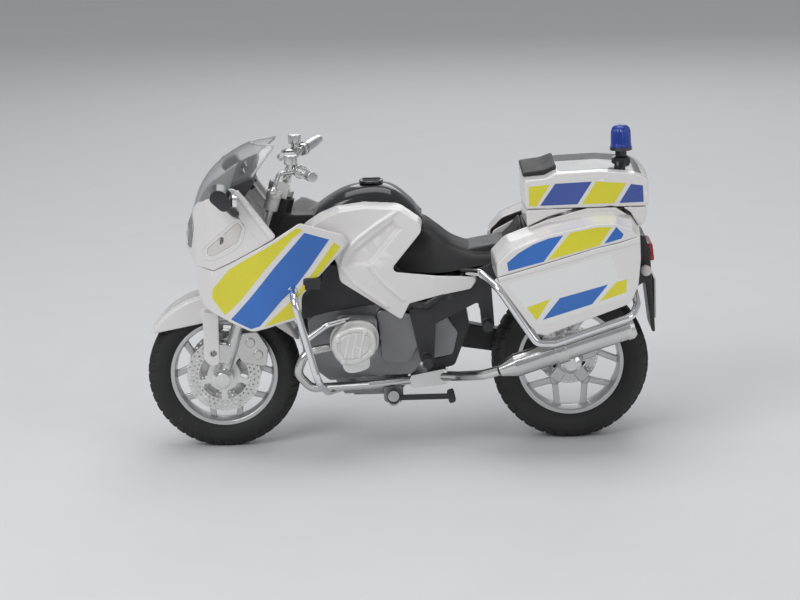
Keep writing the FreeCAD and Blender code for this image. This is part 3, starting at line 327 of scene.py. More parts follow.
def curve_through(points, per, closed=False):
    """Smooth curve through points of any dimension (Catmull-Rom), per steps between neighbours."""
    pts = [np.array(p, float) for p in points]
    count = len(pts)
    spans = count if closed else count - 1
    out = []
    for i in range(spans):
        if closed:
            a, b, c, d = (pts[(i + k) % count] for k in (-1, 0, 1, 2))
        else:
            a, b, c, d = pts[max(i - 1, 0)], pts[i], pts[i + 1], pts[min(i + 2, count - 1)]
        for k in range(per):
            t = k / per
            out.append(0.5 * (2 * b + (c - a) * t + (2 * a - 5 * b + 4 * c - d) * t * t
                              + (3 * b - a - 3 * c + d) * t * t * t))
    if not closed:
        out.append(pts[-1])
    return out


def skin(bm, rings, caps=True):
    """Joins equal rings of points with quads and closes both ends, unless caps is off."""
    made = [[bm.verts.new(Vector(p) * MM) for p in ring] for ring in rings]
    for one, two in zip(made, made[1:]):
        for k in range(len(one)):
            n = (k + 1) % len(one)
            bm.faces.new((one[k], one[n], two[n], two[k]))
    if caps:
        bm.faces.new(made[0])
        bm.faces.new(made[-1])


def pipe(bm, points, radius, closed=False, steps=10):
    """Round bead along a run of points."""
    pts = [Vector(p) for p in points]
    rings = []
    for i, here in enumerate(pts):
        before = pts[i - 1] if (i or closed) else here
        after = pts[(i + 1) % len(pts)] if (i < len(pts) - 1 or closed) else here
        first, second = frame_along((after - before).normalized())
        rings.append([here + (first * math.cos(2 * math.pi * k / steps)
                              + second * math.sin(2 * math.pi * k / steps)) * radius for k in range(steps)])
    if closed:
        rings.append(rings[0])
    skin(bm, rings, caps=not closed)
    bmesh.ops.remove_doubles(bm, verts=bm.verts, dist=0.000002)


def cross_head(bm, centre, direction, radius, height):
    """Domed screw head with a cross recess; centre is the middle of its seat."""
    direction = Vector(direction).normalized()
    first, second = frame_along(direction)
    rings = [(radius, 0.0), (radius, height * 0.35)] + [(radius * (1 - t / 9), None) for t in range(1, 9)]
    made = []
    for r, level in rings:
        ring = []
        for k in range(48):
            angle = 2 * math.pi * k / 48
            u, v = r * math.cos(angle), r * math.sin(angle)
            top = level
            if level is None:
                top = height * (0.35 + 0.65 * math.sqrt(max(0.0, 1 - (r / radius) ** 2)))
                if min(abs(u), abs(v)) < 0.17 * radius and max(abs(u), abs(v)) < 0.66 * radius:
                    top -= height * 0.55
            ring.append(centre + first * u + second * v + direction * top)
        made.append(ring)
    skin(bm, made)


# ---------------------------------------------------------------- wheels
def tyre_profile(tyre_r, width, flat):
    """Rounded road-tyre section from one bead over the tread to the other; tyre() adds the way back through the
    inside.
    """
    half = width / 2
    corners = [(18.1, 0.60), (18.9, 0.80), (20.4, 0.93), (22.0, 0.99), (tyre_r - 3.4, 0.99), (tyre_r - 1.9, 0.86),
               (tyre_r - 0.8, 0.64)]
    side = []
    for (r0, a0), (r1, a1) in zip(corners, corners[1:]):
        side += [(r0 + (r1 - r0) * t / 4, (a0 + (a1 - a0) * t / 4) * half) for t in range(4)]
    edge_r, edge_a = corners[-1][0], corners[-1][1] * half
    for t in range(6):
        share = t / 6
        side.append((edge_r + (tyre_r - edge_r) * math.sin(share * math.pi / 2),
                     edge_a + (flat - edge_a) * share))
    side += [(tyre_r, flat * (1 - t / 6)) for t in range(6)]
    return side + [(tyre_r, 0.0)] + [(r, -a) for r, a in reversed(side)]


def tyre(node, axle, tyre_r, width, flat, blocks):
    """Tyre with slanting tread grooves and a shallow ring groove in each sidewall."""
    profile = tyre_profile(tyre_r, width, flat)
    half = width / 2
    inside = [(19.9, -half * 0.5), (tyre_r - 2.6, -half * 0.42), (tyre_r - 2.6, half * 0.42), (19.9, half * 0.5)]

    def tread(angle, i):
        if i >= len(profile):
            return 0.0
        radius, along = profile[i]
        lateral = abs(along) / half
        if radius > tyre_r - 2.6:
            lead = 1.0 if along > 0 else -1.0
            phase = (angle * blocks / (2 * math.pi) + lateral * 0.9 * lead + (0.25 if along > 0 else 0.0)) % 1.0
            groove = max(0.0, 1 - abs(phase - 0.5) / 0.13)
            band = min(1.0, max(0.0, (lateral - 0.10) / 0.1)) * min(1.0, max(0.0, (0.93 - lateral) / 0.06))
            return -0.5 * min(1.0, groove * 1.8) * band
        return -0.16 if 20.6 < radius < 21.3 else 0.0

    bm = bmesh.new()
    lathe(bm, axle, (0, 1, 0), profile + inside, steps=blocks * 14, closed=True, radial=tread)
    mesh = mesh_from(bm, node, 38)
    return show(node + "_tread", mesh, BODY_OF[node], "tyre", [node])


def drilled_disc(bm, centre, half, inner, outer, rows, cols):
    """Flat ring with rows of round holes right through it."""
    step_r = (outer - inner) / rows
    for row in range(rows):
        r0, r1 = inner + step_r * row, inner + step_r * (row + 1)
        shift = 0.5 * (row % 2)
        for col in range(cols):
            a0 = 2 * math.pi * (col + shift) / cols
            a1 = 2 * math.pi * (col + 1 + shift) / cols
            mid_a, mid_r = (a0 + a1) / 2, (r0 + r1) / 2
            rim_points = [(r0, a0), (r0, mid_a), (r0, a1), (mid_r, a1),
                          (r1, a1), (r1, mid_a), (r1, a0), (mid_r, a0)]
            hole = 0.27 * step_r
            hole_points = []
            for r, a in rim_points:
                away = Vector(((a - mid_a) * mid_r, r - mid_r)).normalized() * hole
                hole_points.append((mid_r + away.y, mid_a + away.x / mid_r))
            sheets = []
            for y in (-half, half):
                place = [bm.verts.new((centre + Vector((r * math.cos(a), y, r * math.sin(a)))) * MM)
                         for r, a in rim_points + hole_points]
                sheets.append(place)
                for k in range(8):
                    n = (k + 1) % 8
                    bm.faces.new((place[k], place[n], place[8 + n], place[8 + k]))
            for k in range(8):
                n = (k + 1) % 8
                bm.faces.new((sheets[0][8 + k], sheets[0][8 + n], sheets[1][8 + n], sheets[1][8 + k]))
                if (row == 0 and k in (0, 1)) or (row == rows - 1 and k in (4, 5)):
                    bm.faces.new((sheets[0][k], sheets[0][n], sheets[1][n], sheets[1][k]))
    bmesh.ops.remove_doubles(bm, verts=bm.verts, dist=0.00002)


def brake_disc(node, axle, y, outer, inner, both):
    """Drilled ring on a five-armed carrier, with a rivet at the end of each arm."""
    bm = bmesh.new()
    centre = axle + Vector((0, y, 0))
    drilled_disc(bm, centre, 0.35, inner, outer, 3, 36)
    carrier = bmesh.new()
    lathe(carrier, centre, (0, 1, 0),
          [(3.65, -0.35), (5.6, -0.35), (5.8, -0.2), (5.8, 0.2), (5.6, 0.35), (3.65, 0.35)], steps=60, closed=True)
    for i in range(5):
        angle = math.radians(54 + 72 * i)
        arm = Vector((math.cos(angle), 0, math.sin(angle)))
        across = Vector((-arm.z, 0, arm.x))
        root, tip = centre + arm * 5.2, centre + arm * (inner + 0.5)
        corners = []
        for at, wide in ((root, 1.25), (centre + arm * (inner + 5.4) / 2, 0.85), (tip, 1.25)):
            corners.append([carrier.verts.new((at + across * wide * s + Vector((0, h, 0))) * MM)
                            for s, h in ((-1, -0.36), (1, -0.36), (1, 0.36), (-1, 0.36))])
        for one, two in zip(corners, corners[1:]):
            for k in range(4):
                carrier.faces.new((one[k], one[(k + 1) % 4], two[(k + 1) % 4], two[k]))
        carrier.faces.new(corners[0])
        carrier.faces.new(corners[-1])
        lathe(carrier, centre + arm * (inner + 0.4), (0, 1, 0),
              [(0.2, -0.46), (0.62, -0.44), (0.7, -0.3), (0.7, 0.3), (0.62, 0.44), (0.2, 0.46)], steps=16)
    mesh_carrier = bpy.data.meshes.new("carrier")
    carrier.to_mesh(mesh_carrier)
    carrier.free()
    bm.from_mesh(mesh_carrier)
    if both:
        mirror_y(bm)
    return show(node + "_drilled", mesh_from(bm, node, 35), BODY_OF[node], "disc_steel", [node])


tyre("front_tyre", FRONT_AXLE, 26.5, 11.0, 2.6, 44)
tyre("rear_tyre", REAR_AXLE, 27.2, 15.0, 4.0, 40)
moulded("front_rim", 0.22, 5, 0.3)
moulded("rear_rim", 0.22, 5, 0.3)
brake_disc("front_brake_discs", FRONT_AXLE, 6.1, 12.8, 8.6, True)
brake_disc("rear_brake_disc", REAR_AXLE, -6.7, 10.6, 7.4, False)


# ---------------------------------------------------------------- mouldings and castings
CASE_X = (-82.0, -73.4, -66.4, -50.4, -36.2, -31.8)
CASE_SEAM = (75.3, 74.6, 73.7, 70.2, 66.5, 65.3)          # parting line of the plain case at CASE_X
CASE_RISE = (2.6, 1.0, 0.4, -0.5, -0.5, -0.5)             # how far the moulded case moves it
CASE_TOP = (78.0, 86.0, 85.4, 81.8, 75.4, 70.8)
CASE_CROWN = (-0.2, -2.7, -2.1, -1.5, -0.3, -0.2)         # the same for the top edge
CASE_FOOT = (66.0, 56.6, 51.8, 45.2, 55.0, 63.0)


def moulded_case(points, middle, half_height):
    """Side case: straight parting line, low round crown, bulged face and a rim that falls away."""
    side = np.sign(points[:, 1])
    depth = np.abs(points[:, 1])
    x = points[:, 0]
    taper = 1 - 1.3 * np.clip((depth - 15.5) / 21.0, 0, 1) / half_height
    z = middle + (points[:, 2] - middle) / taper
    seam = np.interp(x, CASE_X, CASE_SEAM)
    above = np.clip((z - seam) / (np.interp(x, CASE_X, CASE_TOP) - seam), 0, 1)
    below = np.clip((seam - z) / (seam - np.interp(x, CASE_X, CASE_FOOT)), 0, 1)
    rise = np.interp(x, CASE_X, CASE_RISE)
    crown = np.interp(x, CASE_X, CASE_CROWN) - 1.3 * smoothstep(depth, 26.0, 37.0)
    points[:, 2] = z + rise * (1 - above) * (1 - below) + crown * above
    du = (x + 57.0) / 26.0
    dv = (points[:, 2] - 65.0) / 22.0
    away = np.clip(du * du + dv * dv, 0, 1.3)
    lip = 0.3 * smoothstep(z - seam, -2.0, -1.7) if middle < 70 else 0.0
    points[:, 1] = side * (depth + (lip - 0.9 * away) * smoothstep(depth, 30.0, 36.0))


def case_body_relief(points):
    moulded_case(points, 59.7, 15.5)


def case_lid_relief(points):
    moulded_case(points, 75.7, 10.3)


def top_case_relief(points):
    """Top case: the cheeks of both halves reach the parting line."""
    depth = smoothstep(np.abs(points[:, 1]), 0.0, 20.0)
    gap = points[:, 2] - TOP_CASE_SEAM
    points[:, 2] -= np.sign(gap) * 0.62 * depth * smoothstep(-np.abs(gap), -4.0, -0.7)


def reflector_trim(points):
    """The plate's ends stay inside the nose."""
    points[:, 1] = np.clip(points[:, 1], -19.5, 19.5)


KNEE_SCOOP = [(1.3, 81.9), (14.9, 71.6), (18.4, 66.4), (9.3, 66.6), (-1.2, 78.8)]
TANK_CREASES = [
    [(0.1, 84.6), (7.6, 80.0), (13.6, 75.6), (18.2, 70.8), (19.6, 66.2), (15.4, 60.3), (4.5, 51.9)],
    [(10.4, 66.8), (5.4, 60.1), (-1.3, 54.0)],
]


def tank_relief(points):
    """Tank side: a flat-bottomed knee scoop, with a crease that runs over it and down both edges of the leg."""
    side = np.sign(points[:, 1])
    depth = np.abs(points[:, 1])
    outer = smoothstep(depth, 14.0, 16.8)
    x, z = points[:, 0], points[:, 2]
    scoop = 1.3 * smoothstep(depth_inside(x, z, KNEE_SCOOP), -0.6, 1.4)
    crease = sum(0.55 * np.exp(-(line_distance(x, z, line) / 0.7) ** 2) for line in TANK_CREASES)
    fall = 0.7 * smoothstep(-x, 2.0, 27.0) + 0.8 * smoothstep(z, 80.0, 88.0)
    points[:, 1] = side * (depth - outer * (0.35 + scoop + fall - crease))


def nose_relief(points):
    """Nose: a groove down the strip along its rear edge."""
    side = np.sign(points[:, 1])
    depth = np.abs(points[:, 1])
    groove = np.exp(-(line_distance(points[:, 0], points[:, 2], [(53.6, 92.2), (43.6, 78.4)]) / 0.38) ** 2)
    points[:, 1] = side * (depth - 0.55 * groove * smoothstep(depth, 20.0, 23.0))


MOULDINGS = [
    # node, voxel size, rounds of smoothing, share of faces kept, relief
    ("front_mudguard", 0.28, 6, 0.35),
    ("fork_legs", 0.22, 4, 0.4),
    ("front_calipers", 0.16, 4, 0.4),
    ("upper_yoke", 0.25, 4, 0.4),
    ("lower_yoke_and_stem", 0.25, 4, 0.4),
    ("hand_levers", 0.16, 4, 0.4),
    ("handlebar", 0.2, 3, 0.4),
    ("engine_block", 0.3, 5, 0.35),
    ("cylinders", 0.17, 2, 0.3),
    ("swingarm_with_drive", 0.28, 5, 0.4),
    ("rear_caliper", 0.18, 4, 0.5),
    ("frame", 0.4, 4, 0.4),
    ("foot_pegs", 0.2, 4, 0.35),
    ("rear_mudguard", 0.35, 5, 0.35),
    ("rear_carrier", 0.35, 4, 0.3),
    ("tank_side_left", 0.24, 6, 0.35, tank_relief),
    ("tank_side_right", 0.24, 6, 0.35, tank_relief),
    ("fairing_left", 0.28, 7, 0.35),
    ("fairing_right", 0.28, 7, 0.35),
    ("fairing_nose", 0.22, 5, 0.35, nose_relief),
    ("dash_panel", 0.25, 4, 0.35),
    ("mirror_housings", 0.2, 6, 0.35),
    ("headlight_reflector", 0.24, 2, 0.4, reflector_trim),
    ("side_case_bodies", 0.22, 2, 0.3, case_body_relief),
    ("side_case_lids", 0.22, 2, 0.3, case_lid_relief),
    ("top_case_body", 0.22, 2, 0.3, top_case_relief),
    ("top_case_lid", 0.22, 2, 0.3, top_case_relief),
    ("back_pad", 0.25, 12, 0.4),
    ("silencer_band", 0.18, 3, 0.4),
    ("number_plate", 0.16, 3, 0.4),
    ("tail_light", 0.2, 5, 0.4),
    ("fuel_cap", 0.16, 4, 0.4),
    ("side_stand", 0.16, 3, 0.4),
]
PIECES = {row[0]: moulded(*row) for row in MOULDINGS}


# ---------------------------------------------------------------- seat and tank top
def arched(node, stations, power, slot, seam=0.0):
    """A long form over its stations (x, bottom z, top z, half width), round across the top."""
    bm = bmesh.new()
    rings = []
    for x, low, high, half in curve_through(stations, 7):
        ring = []
        for k in range(41):
            angle = math.pi * k / 40
            c, t = math.cos(angle), math.sin(angle)
            y = half * math.copysign(abs(c) ** (2 / power), c)
            z = low + (high - low) * t ** (2 / power)
            z -= seam * math.exp(-((abs(y) / half - 0.78) / 0.05) ** 2) * min(1.0, (high - low) / 4)
            ring.append((x, y, z))
        rings.append(ring)
    skin(bm, rings)
    return show(node + "_form", mesh_from(bm, node, 50), BODY_OF[node], slot, [node])


arched("seat", [
    (3.6, 62.6, 65.6, 9.4), (-0.4, 62.2, 72.6, 9.7), (-4.4, 62.0, 77.6, 9.9), (-8.6, 61.9, 79.6, 10.6),
    (-13.5, 61.9, 76.2, 12.2), (-19.0, 62.6, 71.8, 12.9), (-26.6, 64.0, 69.0, 13.0), (-33.4, 65.1, 69.6, 13.0),
    (-38.5, 68.0, 73.6, 12.9), (-41.6, 71.0, 77.6, 12.4), (-42.7, 72.8, 77.4, 11.6),
], 3.6, "seat_black", 0.4)
arched("tank_cover", [
    (29.9, 77.0, 79.6, 8.2), (28.4, 76.4, 83.0, 9.4), (26.0, 76.2, 85.6, 9.7), (18.0, 76.1, 90.2, 9.8),
    (9.0, 76.1, 91.9, 9.8), (1.5, 76.1, 90.8, 9.8), (-4.6, 76.6, 86.0, 9.6), (-7.4, 78.4, 82.4, 9.0),
    (-8.5, 80.0, 81.2, 8.0),
], 3.4, "body_black")


# ---------------------------------------------------------------- rocker covers
COVER_EDGE = [(24.2, 41.4), (22.6, 45.8), (18.2, 48.0), (13.2, 48.4), (9.2, 46.8), (7.4, 43.0), (8.4, 38.2),
              (12.6, 35.2), (18.0, 33.9), (22.4, 36.2)]
COVER_BOLTS = [(21.3, 43.6), (12.0, 46.2), (10.2, 39.2), (19.6, 36.2)]


def rocker_covers():
    """Oval covers: a lipped joint, a domed face with three ribs, and a hexagon bolt on each of four bosses."""
    bm = bmesh.new()
    edge = curve_through(COVER_EDGE, 8, closed=True)
    middle = np.mean(edge, axis=0)
    levels = [(22.55, 1.0), (24.0, 1.0), (24.25, 0.985), (24.3, 0.955), (24.45, 0.945), (28.9, 0.925),
              (30.0, 0.895), (30.55, 0.84), (30.75, 0.77), (30.8, 0.70), (30.5, 0.66), (30.5, 0.62),
              (30.85, 0.57), (30.95, 0.3), (31.0, 0.02)]
    rings = []
    for y, scale in levels:
        scaled = [(point - middle) * scale + middle for point in edge]
        rings.append([(x, y, z) for x, z in scaled])
    skin(bm, rings)
    for k in (-1, 0, 1):
        start = Vector((middle[0] + 2.4 * k - 1.0, 30.75, middle[1] + 4.2))
        finish = Vector((middle[0] + 2.4 * k + 1.0, 30.75, middle[1] - 4.2))
        pipe(bm, [start, start.lerp(finish, 0.5) + Vector((0, 0.12, 0)), finish], 0.42)
    for x, z in COVER_BOLTS:
        lathe(bm, Vector((x, 24.2, z)), (0, 1, 0), [(1.45, 0), (1.35, 5.6), (1.15, 6.2), (0.9, 6.4), (0.1, 6.4)],
              steps=32)
        lathe(bm, Vector((x, 30.5, z)), (0, 1, 0), [(0.78, 0), (0.78, 0.7), (0.66, 0.85), (0.1, 0.85)], steps=6)
    chin = curve_through([(20.4, 36.0), (19.4, 32.4), (17.0, 31.2), (12.8, 32.0), (10.8, 33.6), (10.8, 37.6)], 6)
    skin(bm, [[(x, y, z) for x, z in chin] for y in (22.6, 26.4, 26.9)])
    mirror_y(bm)
    return show("rocker_covers_form", mesh_from(bm, "rocker_covers", 32), "chassis", "cover_silver",
                ["rocker_covers"])


rocker_covers()


# ---------------------------------------------------------------- hand grips, screws, beacon and gauges
def hand_grips():
    """Ribbed sleeves with an inner flange."""
    bm = bmesh.new()
    inner, outer = Vector((33.0, 20.0, 100.4)), Vector((28.2, 35.0, 101.0))
    run = outer - inner
    profile = [(1.2, 0.16), (2.3, 0.165), (2.4, 0.18), (2.4, 0.20), (2.2, 0.22), (1.6, 0.225)]
    for k in range(16):
        at = 0.23 + k * 0.0425
        profile += [(1.62, at), (1.84, at + 0.008), (1.84, at + 0.028), (1.62, at + 0.036)]
    profile += [(1.85, 0.905), (1.8, 0.925), (1.2, 0.93)]
    lathe(bm, inner, run, [(r, at * run.length) for r, at in profile], steps=40)
    mirror_y(bm)
    return show("hand_grips_ribbed", mesh_from(bm, "hand_grips", 35), "steering", "chrome_dull", ["hand_grips"])


def screws(node, heads, radius, height):
    bm = bmesh.new()
    for centre, direction in heads:
        cross_head(bm, Vector(centre), direction, radius, height)
    return show(node + "_cross_head", mesh_from(bm, node, 40), BODY_OF[node], "screw_steel", [node])


def beacon():
    """Fluted lens with a thick foot, over a lamp on a post."""
    bm = bmesh.new()
    foot = Vector((-77.6, 0, 101.8))
    outside = [(3.7, 0.02), (3.7, 0.9), (3.5, 1.0), (3.42, 1.3), (3.3, 5.4), (2.95, 6.6), (2.2, 7.4), (1.2, 7.75),
               (0.2, 7.8)]
    inside = [(0.2, 7.2), (1.6, 6.9), (2.5, 5.9), (2.75, 4.8), (2.85, 0.02)]
    lathe(bm, foot, (0, 0, 1), outside + inside, steps=120, closed=True,
          radial=lambda angle, i: 0.09 * math.cos(20 * angle) if 2 < i < 6 else 0.0)
    show("beacon_lens_fluted", mesh_from(bm, "beacon_lens", 40), "chassis", "blue_lens", ["beacon_lens"])
    lamp = bmesh.new()
    lathe(lamp, foot, (0, 0, 1), [(2.4, 0.02), (2.4, 0.4), (1.0, 0.6), (0.9, 2.0), (1.3, 2.6), (1.45, 3.6),
                                  (1.2, 4.8), (0.6, 5.5), (0.1, 5.6)], steps=32)
    show("beacon_lamp", mesh_from(lamp, "beacon_lamp", 45), "chassis", "reflector")


def gauges():
    """Two round dials with plain ticks and a needle, set in the hoods of the dash."""
    bm = bmesh.new()
    facing = Vector((-0.82, 0, 0.57)).normalized()
    first, second = frame_along(facing)
    for y in (-6.0, 6.0):
        centre = Vector((51.8, y, 94.6)) + facing * 1.85
        lathe(bm, centre, facing, [(3.35, 0.0), (3.35, 0.12), (3.2, 0.16), (0.1, 0.16)], steps=48)
        dial_faces = len(bm.faces)
        for k in range(11):
            angle = math.radians(-130 + 26 * k)
            away = first * math.cos(angle) + second * math.sin(angle)
            across = facing.cross(away)
            inner_r = 2.3 if k % 2 else 2.0
            corners = [centre + away * r + across * w * 0.09 + facing * 0.2
                       for r, w in ((inner_r, -1), (2.9, -1), (2.9, 1), (inner_r, 1))]
            skin(bm, [corners, [c + facing * 0.06 for c in corners]])
        away = first * math.cos(0.6) + second * math.sin(0.6)
        across = facing.cross(away)
        needle = [centre + away * r + across * w * 0.14 + facing * 0.3
                  for r, w in ((-0.6, -1), (2.4, -0.3), (2.4, 0.3), (-0.6, 1))]
        skin(bm, [needle, [c + facing * 0.08 for c in needle]])
        bm.faces.ensure_lookup_table()
        for face in bm.faces[dial_faces:]:
            face.material_index = 1
        lathe(bm, centre, facing, [(3.3, 0.1), (3.3, 0.5), (3.55, 0.5), (3.55, 0.1)], steps=48, closed=True)
    return show("gauges", mesh_from(bm, "gauges", 40), "chassis", "plate_grey", materials=[DIAL, BLACK])


def lens_rim(side):
    """Raised bead round the indicator in the cheek of the nose."""
    nose = PIECES["fairing_nose"].data
    tree = BVHTree.FromPolygons([v.co for v in nose.vertices], [p.vertices for p in nose.polygons])
    outline = curve_through([(65.9, 71.4), (65.3, 75.2), (60.0, 80.2), (54.2, 85.2), (51.6, 82.4), (53.2, 76.8),
                             (57.6, 73.4), (62.6, 70.8)], 6, closed=True)
    points = []
    for x, z in outline:
        hit = tree.ray_cast(Vector((x, side * 60, z)) * MM, Vector((0, -side, 0)))[0]
        if hit is None or abs(hit.y) < 10 * MM:
            hit = tree.find_nearest(Vector((x, side * 24, z)) * MM)[0]
        points.append(Vector((x, hit.y / MM - side * 0.1, z)))
    bm = bmesh.new()
    pipe(bm, points, EDGE_BEAD, closed=True)
    word = "left" if side > 0 else "right"
    return show("indicator_rim_" + word, mesh_from(bm, "rim"), "chassis", "body_white")


SCREEN_SIDE = [(58.4, 21.5, 84.4), (53.5, 21.6, 92.0), (48.2, 18.8, 99.0), (44.2, 14.4, 104.0),
               (41.7, 9.4, 107.0)]
SCREEN_TOP = [(46.1, 6.4, 107.0), (48.6, 3.2, 107.0), (49.4, 0.0, 107.0)]


def screen_edge():
    """Thicker rolled edge of the screen, up one side, over the top and down the other, in a paler, half-clear
    plastic that is a painted highlight along the edge.
    """
    half = SCREEN_SIDE + SCREEN_TOP
    bm = bmesh.new()
    pipe(bm, curve_through(half + [(x, -y, z) for x, y, z in reversed(half[:-1])], 5), EDGE_BEAD)
    return show("windscreen_edge_highlight", mesh_from(bm, "windscreen_edge_highlight"), "chassis", "clear", materials=[SCREEN_EDGE_HIGHLIGHT])


screen_edge()
hand_grips()
screws("mudguard_screws", [((64.6, side * 11.9, 35.8), (0, side, 0)) for side in (1, -1)], 1.1, 0.7)
screws("frame_screws", [((-2.0, -8.4, 60.4), (0, -1, 0)), ((-13.5, -8.4, 56.0), (0, -1, 0)),
                        ((-38.0, -9.0, 68.4), (0, -1, 0))], 1.3, 0.8)
beacon()
gauges()
lens_rim(1)
lens_rim(-1)

for node, cad in frame["nodes"].items():
    if not cad.hide_render:
        cad.material_slots[0].material = PLATED if node == "front_calipers" else FINISH[slot_of(node)]


# ---------------------------------------------------------------- stickers
def sticker(name, target, outlines, side, thick=0.09, step=1.5):
    """Cut film laid on a panel. Outlines are (x, z) polygons, or (x, y) ones if side is 0, for a top face."""
    tree = BVHTree.FromPolygons([v.co for v in target.data.vertices], [p.vertices for p in target.data.polygons])
    out = Vector((0, side, 0)) if side else Vector((0, 0, 1))
    across = Vector((0, 0, 1)) if side else Vector((0, 1, 0))
    reach = 60 * MM if side else 120 * MM
    whole = bmesh.new()
    materials = []
    for layer, (points, finish) in enumerate(outlines):
        if finish not in materials:
            materials.append(finish)
        film = bmesh.new()
        film.faces.new([film.verts.new(Vector((x, 0, 0)) * MM + across * v * MM) for x, v in points])
        us, vs = [p[0] for p in points], [p[1] for p in points]
        for low, high, normal in ((min(us), max(us), Vector((1, 0, 0))), (min(vs), max(vs), across)):
            at = low + step
            while at < high:
                bmesh.ops.bisect_plane(film, geom=film.verts[:] + film.edges[:] + film.faces[:],
                                       plane_co=normal * at * MM, plane_no=normal)
                at += step
        found = {}
        for vert in film.verts:
            hit = tree.ray_cast(vert.co + out * reach, -out)[0]
            if hit is not None and hit.dot(out) > 11 * MM:
                found[vert] = hit.dot(out)
        levels = list(found.values())
        for vert in film.verts:
            if vert not in found:
                nearest = min(found, key=lambda other: (other.co - vert.co).length)
                found[vert] = min(found[nearest], max(levels))
        lift = FILM_LIFT + FILM_OVER_FILM * min(layer, 1)
        for vert, level in found.items():
            vert.co += out * (level + lift * MM)
        raised = bmesh.ops.extrude_face_region(film, geom=film.faces[:], use_keep_orig=True)
        for vert in raised["geom"]:
            if isinstance(vert, bmesh.types.BMVert):
                vert.co -= out * thick * MM
        bmesh.ops.recalc_face_normals(film, faces=film.faces)
        for face in film.faces:
            face.material_index = materials.index(finish)
        patch = bpy.data.meshes.new("patch")
        film.to_mesh(patch)
        film.free()
        whole.from_mesh(patch)
    mesh = bpy.data.meshes.new(name)
    whole.to_mesh(mesh)
    whole.free()
    mesh.polygons.foreach_set("use_smooth", [True] * len(mesh.polygons))
    mesh.set_sharp_from_angle(angle=math.radians(40))
    return show(name, mesh, "chassis", "body_white", materials=materials)


FAIRING_BANDS = [
    ([(63.8, 57.2), (63.4, 60.4), (57.0, 68.0), (50.0, 72.2), (41.2, 77.0), (34.0, 81.6), (31.9, 80.8),
      (35.4, 78.2), (45.2, 67.6), (53.4, 57.6), (59.4, 51.6)], YELLOW),
    ([(57.4, 50.4), (51.0, 57.4), (42.2, 68.0), (31.4, 79.8), (23.2, 76.8), (30.4, 67.2), (35.8, 60.6),
      (39.8, 57.0), (47.6, 48.2), (50.6, 47.2)], BLUE),
    ([(46.2, 48.0), (38.0, 55.4), (28.6, 66.4), (21.6, 75.6), (19.4, 73.8), (26.0, 66.0), (34.4, 57.6),
      (34.8, 51.0)], YELLOW),
]
LID_BANDS = [
    ([(-36.6, 67.0), (-36.2, 69.8), (-40.0, 73.0), (-44.8, 75.8), (-50.1, 77.8), (-55.0, 78.7),
      (-48.4, 70.0)], BLUE),
    ([(-49.8, 70.5), (-57.6, 79.6), (-66.1, 81.0), (-71.2, 81.0), (-67.0, 75.0)], YELLOW),
    ([(-68.7, 75.5), (-72.8, 81.0), (-75.2, 78.4), (-74.4, 77.0)], BLUE),
]
BODY_BANDS = [
    ([(-35.8, 62.6), (-70.9, 71.9), (-73.4, 63.6), (-76.6, 63.2), (-76.0, 57.2), (-49.8, 48.6),
      (-46.4, 48.6)], BORDER),
    ([(-42.4, 54.4), (-50.4, 57.2), (-45.8, 49.8)], YELLOW),
    ([(-47.8, 50.0), (-53.6, 57.4), (-69.8, 61.6), (-64.4, 55.0)], BLUE),
    ([(-66.8, 55.8), (-72.4, 62.2), (-76.2, 63.2), (-75.8, 58.6)], YELLOW),
]
TOP_BANDS = [
    ([(-44.6, 92.4), (-44.7, 85.6), (-47.2, 85.7), (-51.8, 93.0)], YELLOW),
    ([(-48.4, 85.8), (-53.6, 93.2), (-66.0, 93.6), (-61.0, 86.0)], BLUE_DARK),
    ([(-62.6, 86.0), (-67.4, 93.6), (-77.6, 92.8), (-73.4, 86.0)], YELLOW),
    ([(-75.2, 86.0), (-79.2, 92.4), (-83.2, 91.8), (-83.4, 86.2)], BLUE_DARK),
]
TOP_PANEL = [([(-54.8, -14.6), (-54.8, 14.6), (-56.2, 16.0), (-81.6, 15.4), (-83.2, 13.8), (-83.2, -13.8),
               (-81.6, -15.4), (-56.2, -16.0)], BLACK)]
for side, word in ((1, "left"), (-1, "right")):
    sticker("fairing_sticker_" + word, PIECES["fairing_" + word], FAIRING_BANDS, side)
    sticker("lid_sticker_" + word, PIECES["side_case_lids"], LID_BANDS, side)
    sticker("case_sticker_" + word, PIECES["side_case_bodies"], BODY_BANDS, side)
    sticker("top_case_sticker_" + word, PIECES["top_case_lid"], TOP_BANDS, side)
sticker("top_case_panel", PIECES["top_case_lid"], TOP_PANEL, 0, thick=0.5, step=0.8)


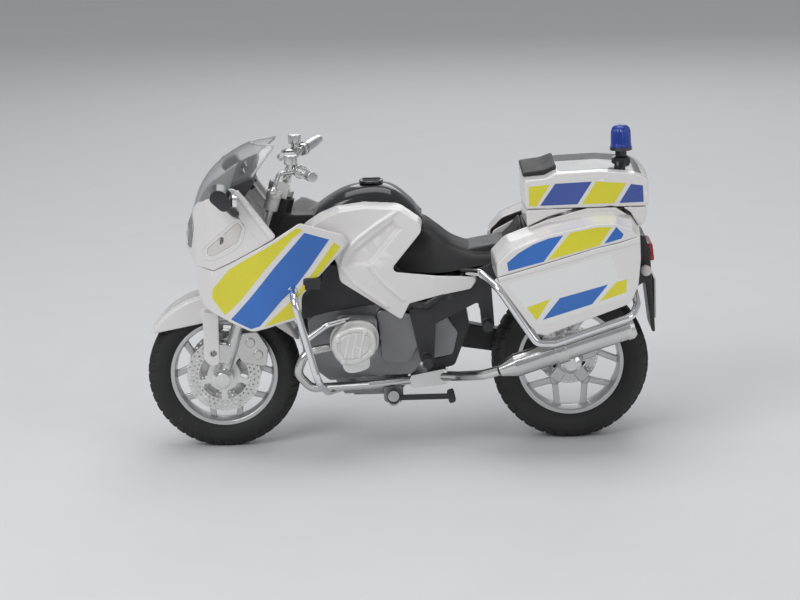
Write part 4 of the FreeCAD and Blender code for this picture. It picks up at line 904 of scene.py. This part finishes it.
# ---------------------------------------------------------------- floor, light and camera
def studio():
    """Pale floor, soft lights from above and both sides, and an even pale surround."""
    floor_mesh = bpy.data.meshes.new("floor")
    bm = bmesh.new()
    bmesh.ops.create_grid(bm, x_segments=4, y_segments=4, size=3.0)
    bm.to_mesh(floor_mesh)
    bm.free()
    floor = bpy.data.objects.new("floor", floor_mesh)
    bpy.context.scene.collection.objects.link(floor)
    paper = surface("floor_paper", (0.74, 0.74, 0.75), 0.75, grain=60, relief=0.05, cloud=0.01)
    floor.data.materials.append(paper)
    floor.location.z = -0.00005
    lamps = [("key", (0.45, 0.55, 0.55), 0.45, 2.6), ("fill", (-0.7, 0.45, 0.4), 0.5, 0.9),
             ("top", (0.0, -0.05, 0.8), 0.6, 2.2), ("back", (-0.1, -0.8, 0.5), 0.5, 1.0)]
    for name, place, size, power in lamps:
        lamp = bpy.data.lights.new(name, "AREA")
        lamp.size = size
        lamp.energy = power
        holder = bpy.data.objects.new(name, lamp)
        holder.location = place
        holder.rotation_euler = (Vector((0, 0, 0.05)) - Vector(place)).to_track_quat("-Z", "Y").to_euler()
        bpy.context.scene.collection.objects.link(holder)
    world = bpy.data.worlds.new("surround")
    world.use_nodes = True
    world.node_tree.nodes["Background"].inputs["Color"].default_value = (0.80, 0.82, 0.85, 1)
    world.node_tree.nodes["Background"].inputs["Strength"].default_value = 0.40
    bpy.context.scene.world = world
    bpy.context.scene.view_settings.view_transform = "Standard"


def camera():
    """Camera on the bike's left, looking slightly down, with a little roll."""
    elevation, roll, distance = math.radians(13.0), math.radians(-1.668), 0.940
    forward = Vector((0, -math.cos(elevation), -math.sin(elevation)))
    level = Vector((-1, 0, 0))
    upright = level.cross(forward)
    right = level * math.cos(roll) + upright * math.sin(roll)
    up = upright * math.cos(roll) - level * math.sin(roll)
    target = Vector((-0.00015, 0, 0.04995))
    made = bpy.data.cameras.new("camera")
    made.lens = 121.5
    holder = bpy.data.objects.new("camera", made)
    placed = Matrix((right, up, -forward)).transposed().to_4x4()
    placed.translation = target - forward * distance
    holder.matrix_world = placed
    bpy.context.scene.collection.objects.link(holder)
    bpy.context.scene.camera = holder


studio()
camera()
